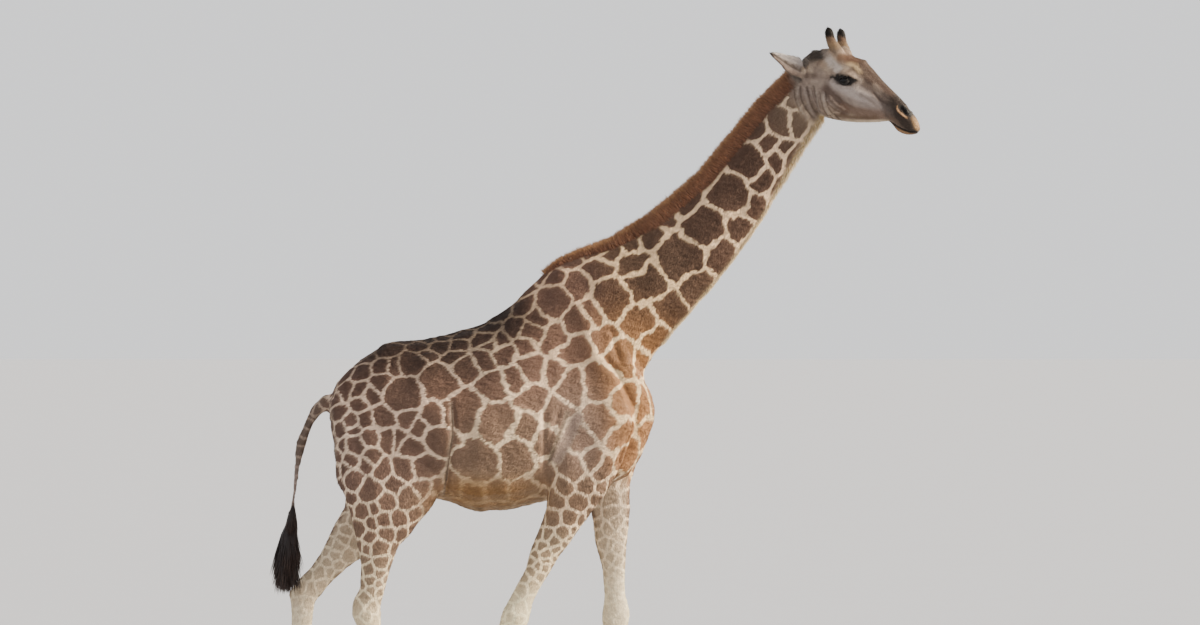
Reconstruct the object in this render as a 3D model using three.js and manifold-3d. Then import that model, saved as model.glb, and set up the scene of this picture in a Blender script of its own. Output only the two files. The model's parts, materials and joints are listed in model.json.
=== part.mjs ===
/**
 * A life-size giraffe cow in mid stride, in millimetres.
 *
 * +X is the way it faces, +Y its left side, +Z up, and the floor is z = 0. Its body is a set of
 * lofts through oval ribs, joined to one solid and then parted by thin cuts into the pieces that
 * a person would name. Heights and lengths are those of a grown cow 3.85 m tall.
 */
import * as THREE from 'three';
import { mergeVertices } from 'three/addons/utils/BufferGeometryUtils.js';
import Module from 'manifold-3d';

const wasm = await Module();
wasm.setup();

// ---------------------------------------------------------------- driving dimensions, mm

const CUT_GAP = 0.4; // clear space left by every cut between two pieces
const FAR_OFF = 4000; // size of a block that has to reach past the whole animal

const SPINE_SIDES = 18;
const HEAD_SIDES = 14;
const BOSS_SIDES = 8;
const BOSS_RINGS = 6;
const EYE_SIDES = 9;
const EYE_RINGS = 7;
const MANE_SIDES = 6;
const LIMB_SIDES = 10;
const TAIL_SIDES = 8;
const CLAW_SIDES = 10;

const HEAD_YAW = THREE.MathUtils.degToRad(-25); // the head looks out to the right
const POLL = new THREE.Vector3(1070, 0, 3560); // where the skull turns on the neck

const MANE_HEIGHT = 38; // hair over the nape
const MANE_ROOT = 40; // how deep its solid would reach into the neck
const MANE_HALF_WIDTH = 24;
const WITHERS_RIB = 8; // the rib of the trunk where the mane starts

const EYE_RADIUS = 24;
const EYE_FORWARD = 217;
const EYE_SIDE = 100;
const EYE_UP = 16;

const OSSICONE_SIDES = 10;

const EAR_SIDES = 10;
const HOLLOW_SIDES = 7;
const EAR_LENGTH = 220;
const EAR_HALF_WIDTH = 44;
const EAR_HALF_THICKNESS = 15;
const EAR_RIM = 8; // thickness of the ear's edge

const CLAW_HALF_LENGTH = 106;
const CLAW_AHEAD = 22; // the middle of the sole lies in front of the coronet's middle
const CLAW_HALF_WIDTH = 42;
const CLAW_CLEFT = 9; // between the two claws of a foot
const CORONET_HEIGHT = 92; // top of the claws at the middle of the foot
const CORONET_SLOPE = THREE.MathUtils.degToRad(20); // it falls towards the heel

/**
 * Ribs of the trunk and neck, from buttocks to nape. Each is an oval set across the animal:
 * its upper end [x, z], its lower end [x, z], half its width, how far down it is widest, and
 * how round it is above and below (1 is an ellipse, more is pointed, less is square).
 */
const SPINE_RIBS = [
  rib([-1341, 1975], [-1336, 1850], 74, 0.5, 1, 1),
  rib([-1318, 2045], [-1312, 1740], 158, 0.5, 1, 1),
  rib([-1260, 2125], [-1258, 1640], 206, 0.5, 1, 1),
  rib([-1070, 2270], [-1060, 1560], 248, 0.48, 1.1, 1),
  rib([-860, 2296], [-800, 1490], 288, 0.52, 1.12, 0.96),
  rib([-640, 2350], [-575, 1422], 336, 0.58, 1.15, 0.94),
  rib([-500, 2415], [-365, 1455], 332, 0.6, 1.15, 0.94),
  rib([-350, 2545], [-60, 1510], 282, 0.62, 1.18, 0.96),
  rib([-280, 2617], [150, 1610], 252, 0.62, 1.2, 1),
  rib([-235, 2655], [262, 1790], 232, 0.62, 1.2, 1),
  rib([-185, 2685], [285, 1940], 212, 0.62, 1.2, 1),
  rib([-135, 2703], [255, 2035], 194, 0.6, 1.18, 1),
  rib([-80, 2722], [232, 2128], 178, 0.58, 1.15, 1),
  rib([75, 2762], [370, 2318], 144, 0.55, 1.1, 0.96),
  rib([275, 2875], [550, 2520], 120, 0.54, 1.06, 0.94),
  rib([530, 3090], [765, 2800], 98, 0.53, 1.04, 0.94),
  rib([830, 3455], [1010, 3220], 79, 0.52, 1, 0.94),
  rib([970, 3590], [1110, 3365], 74, 0.5, 1, 1),
  rib([1040, 3612], [1140, 3415], 64, 0.5, 1, 1),
];

/** Ribs of the head, from its back to the lips, seen from its own side and measured from the poll. */
const HEAD_RIBS = [
  rib([-50, 66], [-33, -60], 62, 0.45, 1, 1),
  rib([-22, 120], [33, -144], 86, 0.42, 1, 1.1),
  rib([44, 148], [94, -172], 100, 0.38, 1, 1.15),
  rib([120, 150], [154, -184], 108, 0.36, 0.95, 1.2),
  rib([196, 143], [215, -192], 112, 0.36, 0.95, 1.2),
  rib([260, 130], [265, -195], 100, 0.38, 1, 1.12),
  rib([302, 106], [309, -196], 80, 0.44, 1, 1.05),
  rib([346, 60], [348, -195], 66, 0.48, 1, 1),
  rib([390, 12], [384, -192], 59, 0.5, 1, 1),
  rib([438, -34], [416, -190], 55, 0.5, 0.95, 1),
  rib([480, -74], [442, -214], 55, 0.48, 0.92, 1),
  rib([514, -112], [474, -244], 57, 0.45, 0.9, 1),
  rib([545, -150], [514, -259], 54, 0.44, 0.9, 1),
  rib([569, -188], [546, -259], 42, 0.45, 0.95, 1),
  rib([579, -220], [570, -250], 20, 0.5, 1, 1),
];

/** Rounded swellings of the skull: one of each side's, or one in the middle: centre and radii. */
const SIDE_BOSSES = {
  brow: [[218, 82, 38], [60, 42, 42]],
  cheek: [[112, 58, -86], [80, 34, 76]],
  ossicone_base: [[156, 44, 122], [44, 34, 38]],
  nostril: [[502, 32, -155], [40, 25, 29]],
};
const MIDDLE_BOSSES = {
  forehead: [[246, 0, 92], [66, 52, 42]],
  nape: [[0, 0, 84], [64, 66, 62]],
  crown: [[70, 0, 106], [92, 64, 66]],
};

/** Middle lines of the right ossicone, base to tip, in the head's frame: [x, y, z, radius]. */
const OSSICONE_PATH = [
  [170, 42, 104, 27],
  [160, 46, 142, 25],
  [151, 53, 176, 20.5],
  [139, 63, 214, 18.5],
  [128, 74, 246, 19],
  [121, 79, 264, 17.5],
  [117, 80, 274, 10],
];

/** Sections along an ear and along its hollow, as fractions of its length. */
const EAR_SECTIONS = [-0.1, 0.03, 0.18, 0.34, 0.5, 0.66, 0.8, 0.91, 0.985];
const HOLLOW_SECTIONS = [0.08, 0.28, 0.47, 0.64, 0.8, 0.92];

/** A claw's outline going up: [height, set back, share of its length, share of its width]. */
const CLAW_LEVELS = [
  [0, 0, 1, 1],
  [14, -3, 1, 1.02],
  [60, -14, 0.9, 0.96],
  [100, -25, 0.78, 0.86],
  [150, -38, 0.66, 0.74],
];

/**
 * Sizes along a leg: between which two joints, how far along, how far the middle lies in front
 * of the bones' line, half its depth and half its width, and whether the far leg, reached out
 * of its muscles in this stride, is slimmer there.
 */
const FORE_STATIONS = [
  station('blade', 'shoulder', 0, 0, 90, 30),
  station('blade', 'shoulder', 0.4, 0, 135, 56),
  station('blade', 'shoulder', 0.75, 0, 194, 78),
  station('shoulder', 'elbow', 0, 0, 224, 88),
  station('shoulder', 'elbow', 0.5, 0, 204, 90, true),
  station('elbow', 'knee', 0, 0, 146, 86, true),
  station('elbow', 'knee', 0.22, 6, 104, 74),
  station('elbow', 'knee', 0.45, 0, 80, 62),
  station('elbow', 'knee', 0.66, 2, 62, 54),
  station('elbow', 'knee', 0.86, 0, 61, 54),
  station('knee', 'fetlock', 0, 4, 74, 64),
  station('knee', 'fetlock', 0.08, 2, 68, 60),
  station('knee', 'fetlock', 0.18, 0, 54, 48),
  station('knee', 'fetlock', 0.4, 0, 44, 38),
  station('knee', 'fetlock', 0.7, 0, 42, 37),
  station('knee', 'fetlock', 0.88, -2, 48, 42),
  station('fetlock', 'coronet', 0, -4, 59, 51),
  station('fetlock', 'coronet', 0.5, 0, 48, 47),
  station('fetlock', 'coronet', 1, 0, 58, 60),
  station('fetlock', 'coronet', 1.3, 0, 56, 58),
];

const HIND_STATIONS = [
  station('hip', 'stifle', -0.2, 0, 190, 40),
  station('hip', 'stifle', 0.12, 0, 262, 84),
  station('hip', 'stifle', 0.5, -15, 286, 100, true),
  station('hip', 'stifle', 0.82, -45, 270, 96, true),
  station('stifle', 'hock', 0.04, -72, 224, 88, true),
  station('stifle', 'hock', 0.2, -66, 170, 78, true),
  station('stifle', 'hock', 0.4, -58, 116, 66),
  station('stifle', 'hock', 0.6, -32, 80, 56),
  station('stifle', 'hock', 0.8, -12, 66, 49),
  station('stifle', 'hock', 0.92, -18, 76, 50),
  station('hock', 'fetlock', 0, -6, 78, 56),
  station('hock', 'fetlock', 0.1, 6, 62, 52),
  station('hock', 'fetlock', 0.28, 8, 49, 41),
  station('hock', 'fetlock', 0.62, 4, 45, 38),
  station('hock', 'fetlock', 0.88, 0, 50, 43),
  station('fetlock', 'coronet', 0, -4, 60, 52),
  station('fetlock', 'coronet', 0.5, 0, 49, 47),
  station('fetlock', 'coronet', 1, 0, 56, 58),
  station('fetlock', 'coronet', 1.3, 0, 54, 56),
];

/** Where the joints of each leg are in this stride, as [x, z], with how far out each one stands. */
const LEGS = {
  fore_right: {
    side: -1,
    stations: FORE_STATIONS,
    slimness: 1,
    bulge: 1,
    joints: {
      blade: joint(-100, 2485, 100),
      shoulder: joint(-30, 1885, 200),
      elbow: joint(-110, 1545, 198),
      knee: joint(-412, 918, 178),
      fetlock: joint(-650, 245, 172),
      coronet: joint(-618, 85, 171),
    },
  },
  fore_left: {
    side: 1,
    stations: FORE_STATIONS,
    slimness: 0.78,
    bulge: 1,
    joints: {
      blade: joint(-30, 2485, 100),
      shoulder: joint(60, 1885, 200),
      elbow: joint(52, 1560, 198),
      knee: joint(86, 905, 178),
      fetlock: joint(100, 216, 172),
      coronet: joint(142, 85, 171),
    },
  },
  hind_right: {
    side: -1,
    stations: HIND_STATIONS,
    slimness: 1,
    bulge: 1,
    joints: {
      hip: joint(-1065, 2010, 130),
      stifle: joint(-975, 1480, 174),
      hock: joint(-1145, 925, 160),
      fetlock: joint(-1130, 240, 166),
      coronet: joint(-1090, 85, 168),
    },
  },
  hind_left: {
    side: 1,
    stations: HIND_STATIONS,
    slimness: 0.82,
    bulge: 0.12,
    joints: {
      hip: joint(-1065, 2010, 130),
      stifle: joint(-1085, 1450, 174),
      hock: joint(-1484, 998, 160),
      fetlock: joint(-1532, 300, 166),
      coronet: joint(-1500, 90, 168),
    },
  },
};

/** The tail from its root to the end of the tuft: [x, z, half its thickness]. */
const TAIL_PATH = [
  [-1300, 1975, 48],
  [-1355, 1972, 45],
  [-1405, 1935, 35],
  [-1440, 1880, 29],
  [-1462, 1825, 26],
  [-1482, 1770, 25],
  [-1496, 1710, 23],
  [-1506, 1640, 20],
  [-1514, 1560, 17],
  [-1522, 1480, 14],
  [-1530, 1415, 17],
];
const TUFT_PATH = [
  [-1537, 1370, 38],
  [-1551, 1310, 52],
  [-1557, 1240, 50],
  [-1556, 1160, 38],
  [-1552, 1090, 22],
  [-1550, 1050, 8],
];
const TAIL_CUT_X = -1350;
const TUFT_CUT_Z = 1402;

/** Cuts across the trunk, neck and throat, each from its upper to its lower end, [x, z]. */
const BARREL_CUT_X = -740;
const CHEST_CUT_X = -300;
const NECK_BASE_CUT = [[-80, 2760], [240, 2125]];
const NECK_MIDDLE_CUT = [[590, 3190], [822, 2880]];
const THROAT_CUT = [[965, 3640], [1118, 3350]];
const LEG_CUT_Z = 1400;
const KNEE_CUT_RISE = 62;
const FORE_LEG_SPAN = [-760, 400]; // what belongs to the forelegs below the cut, along X
const HIND_LEG_SPAN = [-2000, -850];
const TAIL_SPAN = { rear: -2000, low: 900, high: 2200, halfWidth: 75 };

const FINISHES = {
  coat: { color: 0xb0834f, roughness: 0.85, metalness: 0 },
  legs: { color: 0xd8c8ac, roughness: 0.85, metalness: 0 },
  mane: { color: 0x7a4424, roughness: 0.8, metalness: 0 },
  tuft: { color: 0x17120f, roughness: 0.7, metalness: 0 },
  claw: { color: 0x2e2823, roughness: 0.55, metalness: 0 },
  ossicone: { color: 0x6e4a2b, roughness: 0.8, metalness: 0 },
  eye: { color: 0x120c08, roughness: 0.1, metalness: 0 },
};

// ---------------------------------------------------------------- ribs, lofts and solids

/** One oval rib. */
function rib(top, bottom, halfWidth, widest, above, below) {
  return { top, bottom, halfWidth, widest, above, below };
}

/** One joint of a leg: its place from the side, and how far out from the middle it is. */
function joint(x, z, out) {
  return { x, z, out };
}

/** One size along a leg, between two of its joints. */
function station(from, to, along, ahead, halfDepth, halfWidth, slims = false) {
  return { from, to, along, ahead, halfDepth, halfWidth, slims };
}

/** The value of a smooth curve through four numbers, between the middle two. */
function smoothValue(a, b, c, d, t) {
  return 0.5 * (2 * b + (c - a) * t + (2 * a - 5 * b + 4 * c - d) * t * t + (3 * b - a - 3 * c + d) * t ** 3);
}

/** A list of number lists, with `steps` smooth ones for each gap between two of them. */
function smoothList(rows, steps) {
  const last = rows.length - 1;
  const smooth = [];
  for (let i = 0; i < last; i++) {
    const near = [Math.max(i - 1, 0), i, i + 1, Math.min(i + 2, last)].map((k) => rows[k]);
    for (let step = 0; step < steps; step++) {
      const [a, b, c, d] = near;
      smooth.push(b.map((_, k) => smoothValue(a[k], b[k], c[k], d[k], step / steps)));
    }
  }
  smooth.push(rows[last]);
  return smooth;
}

/** Ribs with smooth ones between them. */
function smoothRibs(ribs, steps) {
  const rows = ribs.map((r) => [...r.top, ...r.bottom, r.halfWidth, r.widest, r.above, r.below]);
  return smoothList(rows, steps).map((n) => rib([n[0], n[1]], [n[2], n[3]], ...n.slice(4)));
}

/** The signed power that turns an ellipse rounder or more pointed. */
function bend(value, power) {
  return Math.sign(value) * Math.abs(value) ** power;
}

/** The points of one rib, grown outwards all round by `grow`, with its middle at y = `centreY`. */
function ribPoints(shape, sides, grow, centreY) {
  const top = new THREE.Vector3(shape.top[0], centreY, shape.top[1]);
  const bottom = new THREE.Vector3(shape.bottom[0], centreY, shape.bottom[1]);
  const down = bottom.clone().sub(top);
  const length = down.length() + 2 * grow;
  down.normalize();
  top.addScaledVector(down, -grow);
  const points = [];
  for (let i = 0; i < sides; i++) {
    const angle = (2 * Math.PI * i) / sides;
    const upper = Math.cos(angle) > 0;
    const power = upper ? shape.above : shape.below;
    const height = upper ? shape.widest : 1 - shape.widest;
    const drop = shape.widest - height * bend(Math.cos(angle), power);
    const out = (shape.halfWidth + grow) * bend(Math.sin(angle), power);
    const point = top.clone().addScaledVector(down, drop * length);
    points.push(point.setY(centreY + out));
  }
  return points;
}

/** A closed surface through rings of points, each ring of the same count, closed by fans. */
function loft(rings) {
  const sides = rings[0].length;
  const positions = rings.flat();
  const faces = [];
  for (let i = 0; i < rings.length - 1; i++) {
    for (let j = 0; j < sides; j++) {
      const a = i * sides + j;
      const b = i * sides + ((j + 1) % sides);
      faces.push(a, b, b + sides, a, b + sides, a + sides);
    }
  }
  const ends = [[rings[0], 0, false], [rings.at(-1), (rings.length - 1) * sides, true]];
  for (const [ring, first, flip] of ends) {
    const hub = positions.length;
    const middle = new THREE.Vector3();
    ring.forEach((point) => middle.addScaledVector(point, 1 / sides));
    positions.push(middle);
    for (let j = 0; j < sides; j++) {
      const a = first + j;
      const b = first + ((j + 1) % sides);
      faces.push(...(flip ? [a, b, hub] : [b, a, hub]));
    }
  }
  const geometry = new THREE.BufferGeometry();
  const numbers = positions.flatMap((point) => point.toArray());
  geometry.setAttribute('position', new THREE.Float32BufferAttribute(numbers, 3));
  geometry.setIndex(faces);
  return solidOf(geometry);
}

/** The solid that a closed geometry bounds, turned right side out if it has to be. */
function solidOf(geometry) {
  const bare = geometry.clone();
  bare.deleteAttribute('normal');
  bare.deleteAttribute('uv');
  const merged = mergeVertices(bare, 1e-3);
  const vertProperties = new Float32Array(merged.attributes.position.array);
  const triVerts = new Uint32Array(merged.index.array);
  const solid = new wasm.Manifold(new wasm.Mesh({ numProp: 3, vertProperties, triVerts }));
  if (solid.volume() > 0) return solid;
  for (let i = 0; i < triVerts.length; i += 3) {
    [triVerts[i], triVerts[i + 1]] = [triVerts[i + 1], triVerts[i]];
  }
  return new wasm.Manifold(new wasm.Mesh({ numProp: 3, vertProperties, triVerts }));
}

/** A geometry moved by a matrix, as a solid. */
function placed(geometry, matrix) {
  return solidOf(geometry.clone().applyMatrix4(matrix));
}

/** Several solids joined to one. */
function joined(solids) {
  return solids.reduce((all, solid) => all.add(solid));
}

/** A named mesh of a solid. */
function meshOf(name, solid, finish) {
  const { vertProperties, triVerts } = solid.getMesh();
  const geometry = new THREE.BufferGeometry();
  geometry.setAttribute('position', new THREE.BufferAttribute(new Float32Array(vertProperties), 3));
  geometry.setIndex(new THREE.BufferAttribute(new Uint32Array(triVerts), 1));
  geometry.computeVertexNormals();
  const mesh = new THREE.Mesh(geometry, new THREE.MeshStandardMaterial(FINISHES[finish]));
  mesh.name = name;
  return mesh;
}

// ---------------------------------------------------------------- trunk, neck and mane

/** Trunk and neck as one solid. */
function spine(grow = 0) {
  return loft(smoothRibs(SPINE_RIBS, 2).map((shape) => ribPoints(shape, SPINE_SIDES, grow, 0)));
}

/** The crest of stiff hair along the nape, from the withers up to the ears. */
function mane() {
  const ribs = smoothRibs(SPINE_RIBS.slice(WITHERS_RIB), 5).filter((_, i) => i % 3 === 1);
  const rings = ribs.map((shape, i) => {
    const top = new THREE.Vector2(...shape.top);
    const down = new THREE.Vector2(...shape.bottom).sub(top).normalize();
    const rise = MANE_HEIGHT * Math.min(1, 0.1 + i / 4);
    const crest = top.clone().addScaledVector(down, -rise);
    const root = top.clone().addScaledVector(down, MANE_ROOT);
    return ribPoints(rib(crest.toArray(), root.toArray(), MANE_HALF_WIDTH, 0.6, 1, 1), MANE_SIDES, 0, 0);
  });
  return loft(rings);
}

// ---------------------------------------------------------------- head

/** The place of the head: poll on the neck, face turned to the right. */
const headPlace = new THREE.Matrix4().makeTranslation(POLL);
headPlace.multiply(new THREE.Matrix4().makeRotationZ(HEAD_YAW));

/** An ellipsoid in the head's own frame. */
function headEllipsoid([x, y, z], radii, sides = BOSS_SIDES, rings = BOSS_RINGS) {
  const matrix = new THREE.Matrix4().makeTranslation(x, y, z);
  matrix.premultiply(headPlace).scale(new THREE.Vector3(...radii));
  return placed(new THREE.SphereGeometry(1, sides, rings), matrix);
}

/** One swelling of the skull, grown, on the side that `side` names (0 is the middle). */
function boss([[x, y, z], radii], side, grow) {
  return headEllipsoid([x, side * y, z], radii.map((radius) => radius + grow));
}

/** The head without ears and ossicones. */
function skull(grow = 0) {
  const rings = smoothRibs(HEAD_RIBS, 2).map((shape) => ribPoints(shape, HEAD_SIDES, grow, 0));
  const shape = [loft(rings.map((ring) => ring.map((point) => point.applyMatrix4(headPlace))))];
  for (const side of [-1, 1]) {
    shape.push(...Object.values(SIDE_BOSSES).map((swelling) => boss(swelling, side, grow)));
  }
  shape.push(...Object.values(MIDDLE_BOSSES).map((swelling) => boss(swelling, 0, grow)));
  return joined(shape);
}

/** One eyeball, or the socket that holds it when grown. */
function eyeball(side, grow = 0) {
  const radius = EYE_RADIUS + grow;
  const centre = [EYE_FORWARD, side * EYE_SIDE, EYE_UP];
  return headEllipsoid(centre, [radius, radius, radius], EYE_SIDES, EYE_RINGS);
}

/** Rings of points round a path of [x, y, z, radius] in the head's frame. */
function headTube(path, sides) {
  const centres = path.map(([x, y, z]) => new THREE.Vector3(x, y, z));
  const rings = centres.map((centre, i) => {
    const ahead = centres[Math.min(i + 1, path.length - 1)];
    const behind = centres[Math.max(i - 1, 0)];
    const axis = ahead.clone().sub(behind).normalize();
    const across = new THREE.Vector3(0, 1, 0).cross(axis).normalize();
    const up = axis.clone().cross(across);
    return Array.from({ length: sides }, (_, k) => {
      const angle = (2 * Math.PI * k) / sides;
      const point = centre.clone().addScaledVector(across, path[i][3] * Math.cos(angle));
      return point.addScaledVector(up, path[i][3] * Math.sin(angle)).applyMatrix4(headPlace);
    });
  });
  return loft(rings);
}

/** One of the two thin, skin-covered horns of a cow. */
function ossicone(side) {
  return headTube(OSSICONE_PATH.map(([x, y, z, radius]) => [x, side * y, z, radius]), OSSICONE_SIDES);
}

/** One ear: a leaf with a scooped front, held out and back. */
function ear(side) {
  const root = new THREE.Vector3(-22, side * 72, 60);
  const along = new THREE.Vector3(-102, side * 168, 92).normalize();
  const opening = new THREE.Vector3(0.88, side * 0.5, 0.09);
  opening.addScaledVector(along, -opening.dot(along)).normalize();
  const across = along.clone().cross(opening).normalize();
  const width = (t) => EAR_HALF_WIDTH * Math.sin(Math.PI * (0.2 + 0.8 * Math.max(t, 0))) ** 0.75;
  const thickness = (t) => EAR_HALF_THICKNESS * (1.25 - 0.75 * t);
  const ring = (t, wide, thick, lift, sides) => {
    const centre = root.clone().addScaledVector(along, t * EAR_LENGTH).addScaledVector(opening, lift);
    return Array.from({ length: sides }, (_, k) => {
      const angle = (2 * Math.PI * k) / sides;
      const point = centre.clone().addScaledVector(across, wide * Math.cos(angle));
      return point.addScaledVector(opening, thick * Math.sin(angle)).applyMatrix4(headPlace);
    });
  };
  const outer = EAR_SECTIONS.map((t) => ring(t, width(t), thickness(t), 0, EAR_SIDES));
  const hollow = HOLLOW_SECTIONS.map((t) => {
    const lift = thickness(t) * (1.5 - 0.65 * Math.sin(Math.PI * t));
    return ring(t, Math.max(width(t) - EAR_RIM, 3), thickness(t), lift, HOLLOW_SIDES);
  });
  return loft(outer).subtract(loft(hollow));
}

// ---------------------------------------------------------------- legs, feet and tail

/** One leg from its joints, from inside the trunk down to inside the claws. */
function leg({ side, stations, slimness, bulge, joints }) {
  const path = stations.map(({ from, to, along, ahead, halfDepth, halfWidth, slims }) => {
    const start = joints[from];
    const end = joints[to];
    const bone = new THREE.Vector2(end.x - start.x, end.z - start.z);
    const forward = new THREE.Vector2(-bone.y, bone.x).normalize();
    forward.multiplyScalar(ahead * (ahead < 0 ? bulge : 1));
    const x = start.x + along * bone.x + forward.x;
    const z = start.z + along * bone.y + forward.y;
    const out = THREE.MathUtils.lerp(start.out, end.out, along);
    return [x, z, out, halfDepth * (slims ? slimness : 1), halfWidth];
  });
  const rings = path.map(([x, z, out, halfDepth, halfWidth], i) => {
    const before = path[Math.max(i - 1, 0)];
    const after = path[Math.min(i + 1, path.length - 1)];
    const front = new THREE.Vector2(before[1] - after[1], after[0] - before[0]).normalize();
    front.multiplyScalar(halfDepth);
    const shape = rib([x + front.x, z + front.y], [x - front.x, z - front.y], halfWidth, 0.5, 0.95, 0.95);
    return ribPoints(shape, LIMB_SIDES, 0, side * out);
  });
  return loft(rings);
}

/** One claw of a foot, flat below, with its toe in front. */
function claw({ side, joints }, inward) {
  const middle = joints.coronet;
  const centreY = side * middle.out + inward * (CLAW_HALF_WIDTH + CLAW_CLEFT / 2);
  const rings = CLAW_LEVELS.map(([height, back, long, wide]) => Array.from({ length: CLAW_SIDES }, (_, k) => {
    const angle = (2 * Math.PI * k) / CLAW_SIDES;
    const toe = 1 - 0.22 * Math.cos(angle);
    const x = middle.x + CLAW_AHEAD + back + long * CLAW_HALF_LENGTH * Math.cos(angle);
    const y = centreY + wide * CLAW_HALF_WIDTH * toe * bend(Math.sin(angle), 0.85) * 0.94;
    return new THREE.Vector3(x, y, height);
  }));
  return loft(rings);
}

/** Everything of a foot above its coronet, as one great block whose lower face is the coronet. */
function aboveCoronet({ joints }, rise) {
  const matrix = new THREE.Matrix4().makeTranslation(joints.coronet.x, 0, CORONET_HEIGHT + rise);
  matrix.multiply(new THREE.Matrix4().makeRotationY(-CORONET_SLOPE));
  matrix.multiply(new THREE.Matrix4().makeTranslation(0, 0, FAR_OFF / 2));
  return placed(new THREE.BoxGeometry(FAR_OFF, FAR_OFF, FAR_OFF), matrix);
}

/** The tail and its tuft as one solid. */
function tail() {
  const path = [...TAIL_PATH, ...TUFT_PATH];
  const rings = path.map(([x, z, thick], i) => {
    const before = path[Math.max(i - 1, 0)];
    const after = path[Math.min(i + 1, path.length - 1)];
    const front = new THREE.Vector2(before[1] - after[1], after[0] - before[0]).normalize();
    front.multiplyScalar(thick);
    const shape = rib([x + front.x, z + front.y], [x - front.x, z - front.y], thick * 0.9, 0.5, 1, 1);
    return ribPoints(shape, TAIL_SIDES, 0, 0);
  });
  return loft(rings);
}

// ---------------------------------------------------------------- cuts

/** An upright block between two corners. */
function block([x0, y0, z0], [x1, y1, z1], grow = 0) {
  const size = [x1 - x0, y1 - y0, z1 - z0].map((s) => s + 2 * grow);
  const matrix = new THREE.Matrix4().makeTranslation((x0 + x1) / 2, (y0 + y1) / 2, (z0 + z1) / 2);
  return placed(new THREE.BoxGeometry(...size), matrix);
}

/** A great block in front of the slanted line from [x, z] to [x, z], across the whole animal. */
function blockAhead([top, bottom], grow = 0) {
  const down = new THREE.Vector2(bottom[0] - top[0], bottom[1] - top[1]);
  const angle = Math.atan2(-down.x, -down.y);
  const matrix = new THREE.Matrix4().makeTranslation((top[0] + bottom[0]) / 2, 0, (top[1] + bottom[1]) / 2);
  matrix.multiply(new THREE.Matrix4().makeRotationY(angle));
  matrix.multiply(new THREE.Matrix4().makeTranslation(FAR_OFF / 2 - grow, 0, 0));
  return placed(new THREE.BoxGeometry(FAR_OFF, FAR_OFF, FAR_OFF), matrix);
}

/** Parts a solid in two: what lies in a region, and the rest with a thin gap to it. */
function part(solid, region) {
  return [solid.intersect(region(0)), solid.subtract(region(CUT_GAP))];
}

// ---------------------------------------------------------------- the whole animal

const giraffe = new THREE.Group();
const animal = new THREE.Group();
giraffe.add(animal);

/** Adds one piece to the animal. */
function add(name, solid, finish) {
  animal.add(meshOf(name, solid, finish));
}

const head = skull();
const grownHead = skull(CUT_GAP);
let body = joined([spine(), head, tail(), ...Object.values(LEGS).map(leg)]);

for (const [sideName, side] of [['right', -1], ['left', 1]]) {
  body = body.subtract(eyeball(side, CUT_GAP));
  add(`eye_${sideName}`, eyeball(side), 'eye');
  add(`ossicone_${sideName}`, ossicone(side).subtract(grownHead), 'ossicone');
  add(`ear_${sideName}`, ear(side).subtract(grownHead).subtract(spine(CUT_GAP)), 'coat');
}

const { rear, low, high, halfWidth } = TAIL_SPAN;
const tailRegion = (top) => (grow) => block([rear, -halfWidth, low], [TAIL_CUT_X, halfWidth, top], grow);
const [tailWhole, tailless] = part(body, tailRegion(high));
const [tuft, dock] = part(tailWhole, tailRegion(TUFT_CUT_Z));
add('tail', dock, 'coat');
add('tail_tuft', tuft, 'tuft');
body = tailless;

for (const [name, shape] of Object.entries(LEGS)) {
  for (const [clawName, inward] of [['inner', -shape.side], ['outer', shape.side]]) {
    add(`claw_${name}_${clawName}`, claw(shape, inward).subtract(aboveCoronet(shape, 0)), 'claw');
  }
  const isFore = name.startsWith('fore');
  const [heel, toe] = isFore ? FORE_LEG_SPAN : HIND_LEG_SPAN;
  const [from, to] = shape.side > 0 ? [CUT_GAP, FAR_OFF] : [-FAR_OFF, -CUT_GAP];
  const region = (top) => (grow) => block([heel, from, -CORONET_HEIGHT], [toe, to, top], grow);
  const [whole, rest] = part(body, region(LEG_CUT_Z));
  body = rest;
  const lowerTop = (isFore ? shape.joints.knee.z : shape.joints.hock.z) + KNEE_CUT_RISE;
  const [lower, upper] = part(whole, region(lowerTop));
  add(`leg_${name}_upper`, upper, 'coat');
  add(`leg_${name}_lower`, lower.intersect(aboveCoronet(shape, CUT_GAP)), 'legs');
}

const uprightRegion = (x) => (grow) => block([x, -FAR_OFF, 0], [FAR_OFF, FAR_OFF, FAR_OFF], grow);
const [aheadOfChest, hindParts] = part(body, uprightRegion(CHEST_CUT_X));
const [barrel, hindquarters] = part(hindParts, uprightRegion(BARREL_CUT_X));
const [neckAndHead, forequarters] = part(aheadOfChest, (grow) => blockAhead(NECK_BASE_CUT, grow));
const [upperNeckAndHead, lowerNeck] = part(neckAndHead, (grow) => blockAhead(NECK_MIDDLE_CUT, grow));
const [headPart, upperNeck] = part(upperNeckAndHead, (grow) => blockAhead(THROAT_CUT, grow));
add('hindquarters', hindquarters, 'coat');
add('barrel', barrel, 'coat');
add('forequarters', forequarters, 'coat');
add('neck_lower', lowerNeck, 'coat');
add('neck_upper', upperNeck, 'coat');
add('head', headPart, 'coat');

const crest = mane().subtract(spine(CUT_GAP)).subtract(grownHead);
const [maneUpper, maneLower] = part(crest, (grow) => blockAhead(NECK_MIDDLE_CUT, grow));
add('mane_upper', maneUpper, 'mane');
add('mane_lower', maneLower, 'mane');

// The frame's origin is under the middle of the animal, on the floor.
const box = new THREE.Box3().setFromObject(animal);
animal.position.set(-(box.min.x + box.max.x) / 2, -(box.min.y + box.max.y) / 2, 0);
giraffe.updateMatrixWorld(true);

export default giraffe;
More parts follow.
